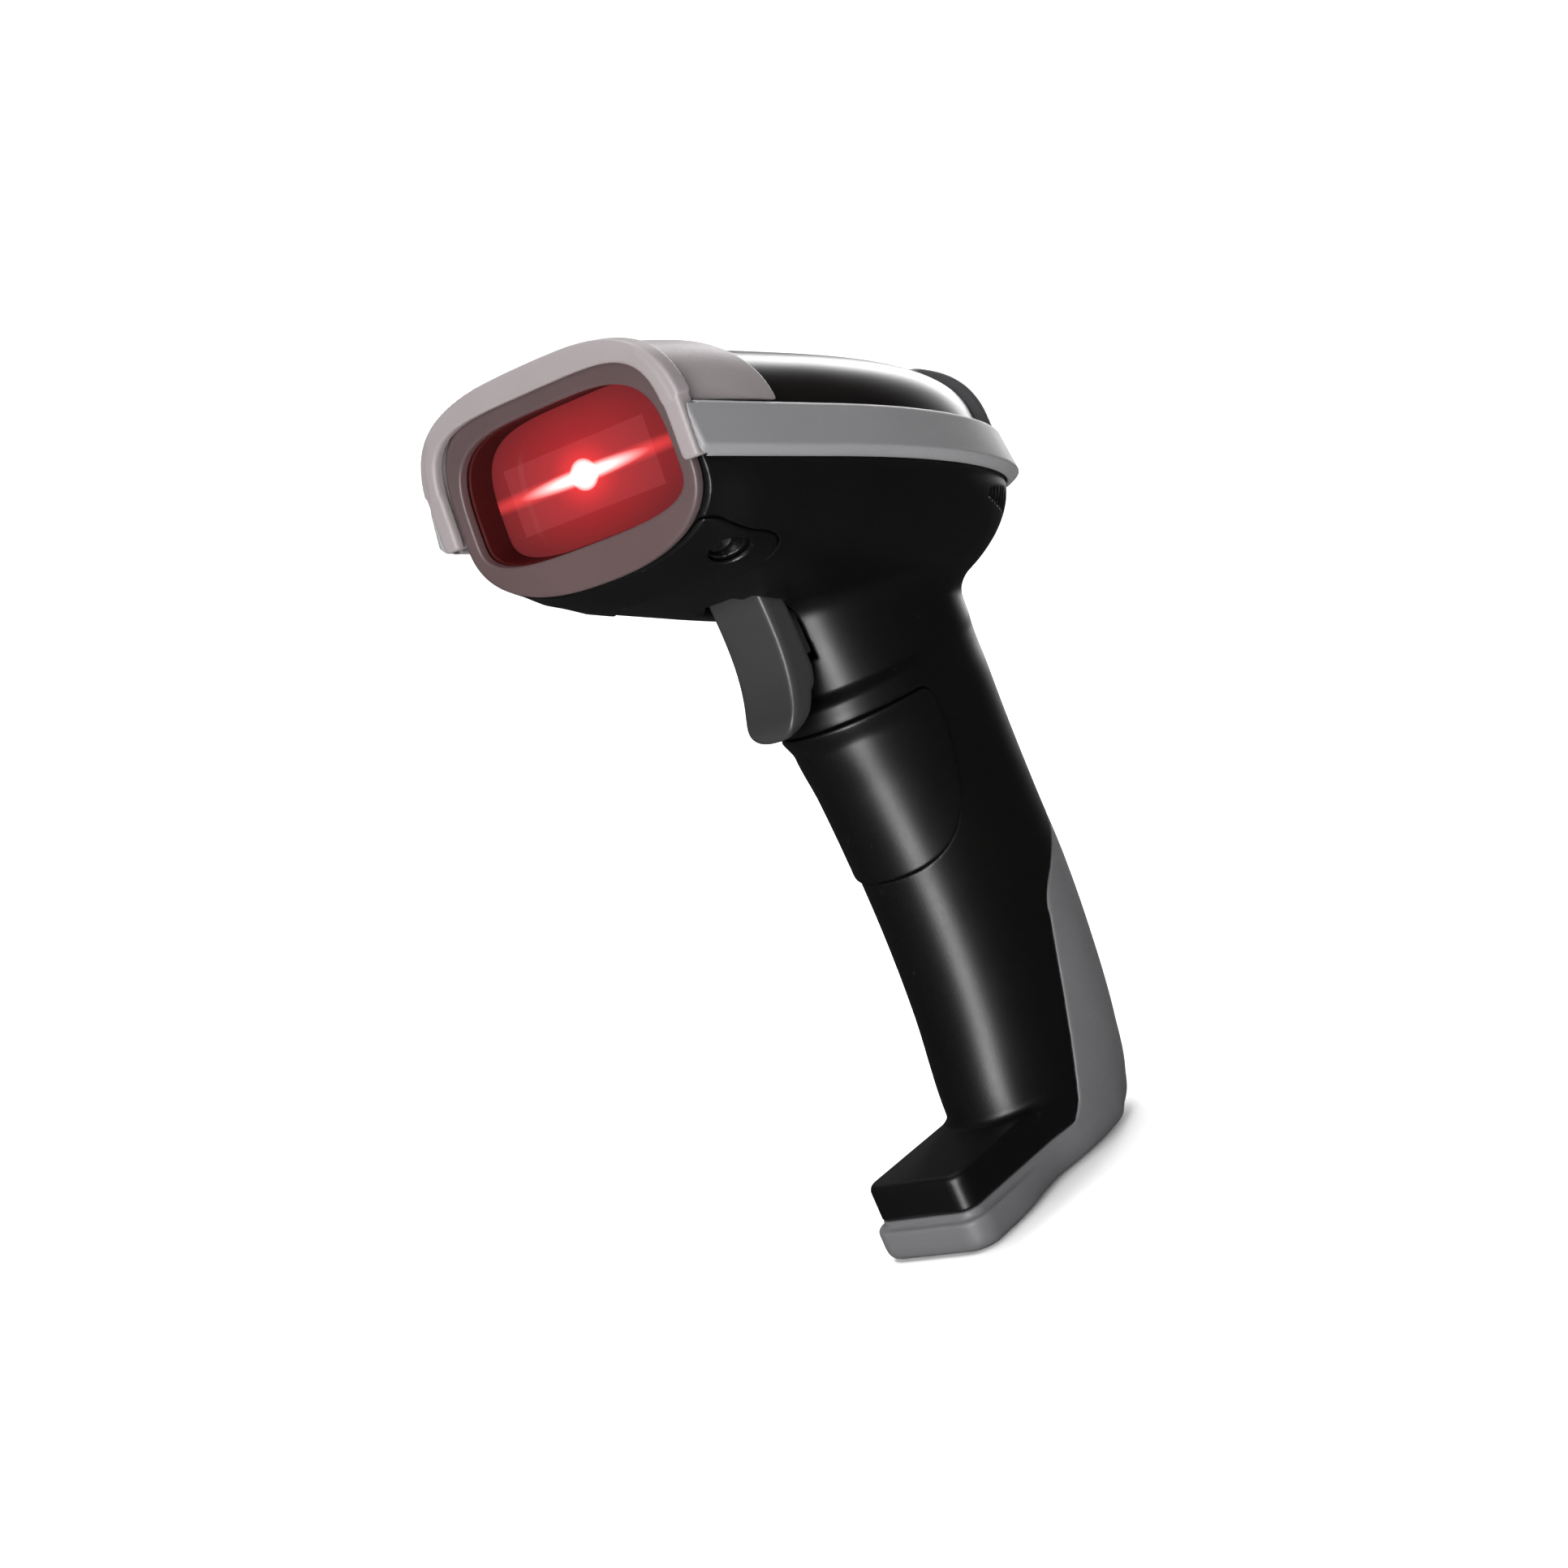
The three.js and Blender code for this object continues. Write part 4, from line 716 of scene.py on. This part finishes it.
def window_material():
    """Clear red plastic, with painted light: the light of the lit engine behind it is painted on the pane as
    emission, a glow with a bright star and a thin streak.
    """
    nodes = Nodes("red_window")
    place = nodes.add("TexCoord").outputs["Object"]
    split = nodes.add("SeparateXYZ")
    nodes.link(place, split.inputs["Vector"])

    def spot(width, height, power):
        """Brightness that falls off from the middle of an ellipse."""
        flat = nodes.add("CombineXYZ")
        for axis, centre, reach, target in (("X", GLOW_X, width, "X"), ("Z", GLOW_Z, height, "Y")):
            shift = nodes.add("Math", operation="SUBTRACT")
            nodes.link(split.outputs[axis], shift.inputs[0])
            shift.inputs[1].default_value = centre * MM
            share = nodes.add("Math", operation="DIVIDE")
            nodes.link(shift.outputs[0], share.inputs[0])
            share.inputs[1].default_value = reach * MM
            nodes.link(share.outputs[0], flat.inputs[target])
        far = nodes.add("VectorMath", operation="LENGTH")
        nodes.link(flat.outputs[0], far.inputs[0])
        near = nodes.add("Math", operation="SUBTRACT", use_clamp=True)
        near.inputs[0].default_value = 1.0
        nodes.link(far.outputs["Value"], near.inputs[1])
        shaped = nodes.add("Math", operation="POWER")
        nodes.link(near.outputs[0], shaped.inputs[0])
        shaped.inputs[1].default_value = power
        return shaped.outputs[0]

    def total(*parts):
        result = parts[0]
        for part in parts[1:]:
            node = nodes.add("Math", operation="ADD")
            nodes.link(result, node.inputs[0])
            nodes.link(part, node.inputs[1])
            result = node.outputs[0]
        return result

    glow = spot(34, 21, 1.7)
    red_streak = spot(42, 1.8, 1.2)
    flare = total(spot(3.4, 2.8, 0.7), spot(17, 1.6, 1.5))
    halo = spot(9, 7, 1.6)

    def scan_field():
        """One inside the rectangle that the engine looks out of, and zero outside it."""
        inside = None
        for axis, low, high in SCAN_FIELD:
            middle = nodes.add("Math", operation="COMPARE")
            nodes.link(split.outputs[axis], middle.inputs[0])
            middle.inputs[1].default_value = (low + high) / 2 * MM
            middle.inputs[2].default_value = (high - low) / 2 * MM
            if inside is None:
                inside = middle.outputs[0]
                continue
            both = nodes.add("Math", operation="MULTIPLY")
            nodes.link(inside, both.inputs[0])
            nodes.link(middle.outputs[0], both.inputs[1])
            inside = both.outputs[0]
        return inside

    def light(color, amount, factor):
        emission = nodes.add("Emission", Color=(*color, 1))
        strength = nodes.add("Math", operation="MULTIPLY")
        nodes.link(factor, strength.inputs[0])
        strength.inputs[1].default_value = amount
        nodes.link(strength.outputs[0], emission.inputs["Strength"])
        return emission.outputs[0]

    # painted light: emission on the pane for the engine's glow, halo, streak and star, a patch over the part
    # it looks through and a faint glow over the whole pane
    lit = [
        light((1.0, 0.015, 0.018), 0.43, glow),
        light((1.0, 0.03, 0.03), 0.7, halo),
        light((1.0, 0.06, 0.06), 1.0, red_streak),
        light((1.0, 0.62, 0.60), 4.0, flare),
        light((1.0, 0.24, 0.26), 0.055, scan_field()),
        light((1.0, 0.31, 0.33), 0.060, ramp(nodes, noise(nodes, place, 60.0), 0.9, 1.0)),
    ]

    pane = nodes.add("BsdfPrincipled", Base_Color=(0.05, 0.002, 0.003, 1))
    pane.inputs["Specular IOR Level"].default_value = 0.35
    smear = ramp(nodes, noise(nodes, place, 120.0, 5.0), 0.04, 0.12)
    nodes.link(smear, pane.inputs["Roughness"])
    bump = nodes.add("Bump", Strength=0.15, Distance=0.01 * MM)
    nodes.link(noise(nodes, place, 300.0), bump.inputs["Height"])
    nodes.link(bump.outputs["Normal"], pane.inputs["Normal"])
    surface = pane.outputs[0]
    for part in lit:
        both = nodes.add("AddShader")
        nodes.link(surface, both.inputs[0])
        nodes.link(part, both.inputs[1])
        surface = both.outputs[0]
    nodes.link(surface, nodes.output.inputs["Surface"])
    return nodes.material


def glowing(name, color, strength):
    """Plastic that is lit from inside."""
    nodes = Nodes(name)
    place = nodes.add("TexCoord").outputs["Object"]
    shader = nodes.add("BsdfPrincipled", Base_Color=(*color, 1), Roughness=0.3)
    shader.inputs["Emission Color"].default_value = (*color, 1)
    flicker = ramp(nodes, noise(nodes, place, 200.0), 0.8 * strength, strength)
    nodes.link(flicker, shader.inputs["Emission Strength"])
    nodes.link(shader.outputs[0], nodes.output.inputs["Surface"])
    return nodes.material


def paper_material():
    """The pale sweep that the scanner stands on."""
    nodes = Nodes("sweep")
    place = nodes.add("TexCoord").outputs["Object"]
    shader = nodes.add("BsdfPrincipled", Base_Color=(0.86, 0.86, 0.86, 1), Roughness=0.8)
    shader.inputs["Specular IOR Level"].default_value = 0.1
    bump = nodes.add("Bump", Strength=0.05, Distance=0.1 * MM)
    nodes.link(noise(nodes, place, 900.0), bump.inputs["Height"])
    nodes.link(bump.outputs["Normal"], shader.inputs["Normal"])
    nodes.link(shader.outputs[0], nodes.output.inputs["Surface"])
    return nodes.material


GLOW_X, GLOW_Z = -3.2, 4.5                             # where the painted glow of the lit engine is centred on the pane, mm
SCAN_FIELD = (("X", -21.7, 14.2), ("Z", -1.9, 10.2))   # the part of the pane that the engine looks through, which gets a patch of painted glow

SATIN = dict(specular=0.42, patchy=0.5, grain_depth=0.02)
GLOSS = dict(specular=0.45, patchy=0.4, grain_depth=0.004)
SOFT = dict(grain=2200, grain_depth=0.06)
METAL = dict(grain=3000, grain_depth=0.01, metallic=1.0)
BLACK_SATIN = moulded("black_satin", (0.0014, 0.0013, 0.0013), 0.42, **SATIN)
BLACK_GLOSS = moulded("black_gloss", (0.0045, 0.0032, 0.0032), 0.32, **GLOSS)
CHARCOAL = moulded("charcoal", (0.045, 0.045, 0.048), 0.42)
TRIGGER_GREY = moulded("trigger_grey", (0.021, 0.021, 0.022), 0.42, grain_depth=0.02)
SOFT_GREY = moulded("soft_grey", (0.140, 0.138, 0.142), 0.55, wear=0.15, **SOFT)
BUMPER_GREY = moulded("bumper_grey", (0.088, 0.087, 0.091), 0.52, wear=0.15, **SOFT)
NOSE_GREY = moulded("nose_grey", (0.160, 0.143, 0.146), 0.50, wear=0.10, **SOFT)
# grey moulding whose colour carries a red tint, which is painted red light from the window's glow
BEZEL_GREY_RED_LIT = moulded("bezel_grey_red_lit", (0.052, 0.034, 0.035), 0.45, grain_depth=0.04)
# dark moulding whose colour carries a red tint, which is painted red light from the window's glow
TUNNEL_DARK_RED_LIT = moulded("tunnel_dark_red_lit", (0.030, 0.002, 0.002), 0.6, specular=0.12)
INNER_BLACK = moulded("inner_black", (0.025, 0.024, 0.024), 0.6)
FOAM = moulded("foam", (0.02, 0.02, 0.02), 0.9, grain=1400, grain_depth=0.2)
STEEL = moulded("steel", (0.55, 0.55, 0.57), 0.3, **METAL)
SCREW_STEEL = moulded("screw_steel", (0.22, 0.22, 0.23), 0.3, **METAL)
BOARD_GREEN = moulded("board_green", (0.03, 0.14, 0.06), 0.4, grain=1200)
CHIP_BLACK = moulded("chip_black", (0.02, 0.02, 0.02), 0.5)
CELL_BLUE = moulded("cell_sleeve", (0.06, 0.14, 0.36), 0.35)
CABLE_AMBER = moulded("cable_film", (0.45, 0.22, 0.05), 0.35)
LENS = moulded("lens_coating", (0.05, 0.06, 0.12), 0.05, grain_depth=0.002, wear=0.0)
LED_RED = glowing("led_red", (1.0, 0.08, 0.06), 2.0)
LED_WHITE = moulded("led_white", (0.85, 0.82, 0.72), 0.25)
WINDOW_RED = window_material()

CARRIED = {
    BOARD_GREEN: ("switch_board", "engine_board", "main_board", "port_board"),
    CHIP_BLACK: ("switch_body", "switch_plunger", "decoder_chip", "buzzer"),
    INNER_BLACK: ("aperture_mask", "engine_housing", "chassis_frame", "battery_cradle"),
    FOAM: ("window_gasket",),
    STEEL: (
        "trigger_pin", "trigger_spring", "engine_bracket", "radio_can", "battery_contact_top",
        "battery_contact_bottom", "vibration_motor", "usb_port", "board_screw_right", "board_screw_left",
        "engine_screw_right", "engine_screw_left",
    ),
    SCREW_STEEL: ("chin_screw_right", "chin_screw_left"),
    CELL_BLUE: ("battery",),
    CABLE_AMBER: ("flat_cable",),
    LENS: ("engine_lens",),
    LED_RED: ("engine_aimer",),
    LED_WHITE: ("engine_led",),
}

# ---------------------------------------------------------------- the pieces


def mould(node, field, material, low, high, step=STEP, frame_matrix=ROW, body="housing"):
    """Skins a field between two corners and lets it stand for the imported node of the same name."""
    grid = Grid(low, high, step)
    piece = skin(node + "_skin", grid, field(grid), frame_matrix)
    piece.data.materials.append(material)
    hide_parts(node)
    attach(piece, body)
    return piece


def build_head():
    for node, field, material, low, high, step in (
        ("nose_bumper", nose_bumper_field, NOSE_GREY, (-35, -4, -4), (35, 36, 28), STEP),
        ("head_belt", head_belt_field, SOFT_GREY, (-36, -4, -3), (36, 114, 11), STEP),
        ("top_cover", top_cover_field, BLACK_GLOSS, (-33, 2, 2), (33, 98, 26), STEP),
        ("rear_cap", rear_cap_field, CHARCOAL, (-23, 78, 2), (23, 110, 26), FINE_STEP),
        ("chin_panel", chin_panel_field, BLACK_SATIN, (-28, 0, -21), (28, 27, -6), FINE_STEP),
    ):
        mould(node, field, material, low, high, step, HEAD_TO_ROW)


def build_face():
    for node, field, material, low, high in (
        ("bezel_ring", bezel_field, BEZEL_GREY_RED_LIT, (-31, 0, -17), (31, 6, 24)),
        ("window_tunnel", tunnel_field, TUNNEL_DARK_RED_LIT, (-28, 3, -10), (28, 11, 20)),
        ("scan_window", window_field, WINDOW_RED, (-28, 9, -10), (28, 13, 20)),
    ):
        mould(node, field, material, low, high, FINE_STEP, FACE_TO_ROW)


def build_body():
    mould("main_shell", main_shell_field, BLACK_SATIN, (-33, -53, 5), (33, 53, 153))
    mould("grip_panel", grip_panel_field, BLACK_SATIN, (-18, -26, 59), (18, 2, 95), FINE_STEP)
    mould("rear_bumper", rear_bumper_field, BUMPER_GREY, (-17, -48, -2), (17, 29, 63))
    mould("trigger", trigger_field, TRIGGER_GREY, (-8, -33, 92), (8, -12, 129), FINE_STEP, body="trigger")


def dress_carried_nodes():
    """Inner pieces stay as packed, with slightly rounded edges and their own finishes."""
    for material, names in CARRIED.items():
        for name in names:
            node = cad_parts[name]
            node.data.materials.clear()
            node.data.materials.append(material)
            rounding = node.modifiers.new("edge", "BEVEL")
            rounding.width = 0.12 * MM
            rounding.segments = 2
            rounding.limit_method = "ANGLE"


# ---------------------------------------------------------------- stage, lights and camera


SWEEP_NEAR, SWEEP_BEND, SWEEP_RADIUS, SWEEP_HEIGHT, SWEEP_HALF = -0.26, 0.9, 0.7, 3.0, 2.5   # metres
AMBIENT = 0.04
MIDDLE = (0, 0, 0.09)   # what the lights face, metres
WINDOW_RED_LIGHT = (1, 0.05, 0.04)
CAMERA_POSITION = (0.3387, -0.3887, 0.1623)
CAMERA_RIGHT = (0.7073, 0.5883, -0.3919)
CAMERA_DOWN = (-0.1928, -0.3729, -0.9076)
CAMERA_LENS = 65.2
SENSOR_WIDTH = 36


def build_sweep():
    """A floor that curves up into a wall behind the object, as seen from the camera."""
    profile = [(SWEEP_NEAR, 0.0), (SWEEP_BEND, 0.0)]
    for angle in np.linspace(0.1, math.pi / 2, 14):
        profile.append((SWEEP_BEND + SWEEP_RADIUS * math.sin(angle), SWEEP_RADIUS * (1 - math.cos(angle))))
    profile.append((SWEEP_BEND + SWEEP_RADIUS, SWEEP_HEIGHT))
    away = Vector((-0.68, 0.73, 0.0)).normalized()
    side = Vector((away.y, -away.x, 0.0))
    points = []
    for run, rise in profile:
        for wide in (-SWEEP_HALF, SWEEP_HALF):
            points.append(away * run + side * wide + Vector((0, 0, rise)))
    faces = [(2 * i, 2 * i + 1, 2 * i + 3, 2 * i + 2) for i in range(len(profile) - 1)]
    mesh = bpy.data.meshes.new("sweep")
    mesh.from_pydata([tuple(p) for p in points], [], faces)
    for polygon in mesh.polygons:
        polygon.use_smooth = True
    sweep = bpy.data.objects.new("sweep", mesh)
    sweep.data.materials.append(paper_material())
    sweep.visible_glossy = False   # the dark mouldings mirror the softboxes only
    bpy.context.scene.collection.objects.link(sweep)


def softbox(name, position, target, width, height, power, mirrored=True, color=(1, 1, 1)):
    """A rectangular light facing its target, unseen by the camera and, for a fill light, in reflections."""
    data = bpy.data.lights.new(name, "AREA")
    data.shape = "RECTANGLE"
    data.size = width
    data.size_y = height
    data.energy = power
    data.color = color
    light = bpy.data.objects.new(name, data)
    light.location = position
    aim = Vector(target) - Vector(position)
    light.rotation_euler = aim.to_track_quat("-Z", "Y").to_euler()
    light.visible_camera = False
    light.visible_glossy = mirrored
    bpy.context.scene.collection.objects.link(light)


def build_world():
    """A pale studio all round that gives almost no light of its own."""
    world = bpy.data.worlds.new("studio")
    world.use_nodes = True
    tree = world.node_tree
    ambient = tree.nodes["Background"]
    ambient.inputs["Color"].default_value = (1, 1, 1, 1)
    ambient.inputs["Strength"].default_value = AMBIENT
    backdrop = tree.nodes.new("ShaderNodeBackground")
    backdrop.inputs["Color"].default_value = (1, 1, 1, 1)
    rays = tree.nodes.new("ShaderNodeLightPath")
    choose = tree.nodes.new("ShaderNodeMixShader")
    tree.links.new(rays.outputs["Is Camera Ray"], choose.inputs["Fac"])
    tree.links.new(ambient.outputs["Background"], choose.inputs[1])
    tree.links.new(backdrop.outputs["Background"], choose.inputs[2])
    tree.links.new(choose.outputs["Shader"], tree.nodes["World Output"].inputs["Surface"])
    bpy.context.scene.world = world
    bpy.context.scene.view_settings.view_transform = "Standard"


def build_lights():
    softbox("overhead", (-0.1, -0.1, 0.95), MIDDLE, 0.8, 0.8, 12, mirrored=False)
    softbox("front_fill", (-0.25, -1.2, 0.35), MIDDLE, 0.9, 0.8, 1.5, mirrored=False)
    softbox("side_fill", (1.1, -0.2, 0.5), MIDDLE, 0.5, 0.7, 3, mirrored=False)
    softbox("tall_strip", (0.42, -0.86, 0.05), (0, 0, 0.05), 0.36, 1.1, 22)
    softbox("top_card", (-0.15, 0.25, 0.9), MIDDLE, 0.5, 0.5, 3.6)
    softbox("back_rim", (-0.25, 0.93, 0.35), MIDDLE, 0.3, 0.8, 6)
    softbox("sweep_wash", (-0.6, 0.7, 1.6), (-1.0, 1.1, 0.3), 1.6, 0.8, 26, mirrored=False)
    source = FACE_TO_ROW @ (Vector((4, -26, -6)) * MM)
    aim = FACE_TO_ROW @ (Vector((2, 4, -8)) * MM)
    softbox("window_spill", source, aim, 0.03, 0.012, 0.0016, mirrored=False, color=WINDOW_RED_LIGHT)


def build_camera():
    right = Vector(CAMERA_RIGHT).normalized()
    up = -Vector(CAMERA_DOWN)
    back = right.cross(up).normalized()
    up = back.cross(right)
    data = bpy.data.cameras.new("camera")
    data.sensor_width = SENSOR_WIDTH
    data.lens = CAMERA_LENS
    data.clip_start = 0.01
    camera = bpy.data.objects.new("camera", data)
    turn = Matrix((right, up, back)).transposed().to_4x4()
    camera.matrix_world = Matrix.Translation(CAMERA_POSITION) @ turn
    bpy.context.scene.collection.objects.link(camera)
    bpy.context.scene.camera = camera


build_head()
build_face()
build_body()
dress_carried_nodes()
build_sweep()
build_world()
build_lights()
build_camera()
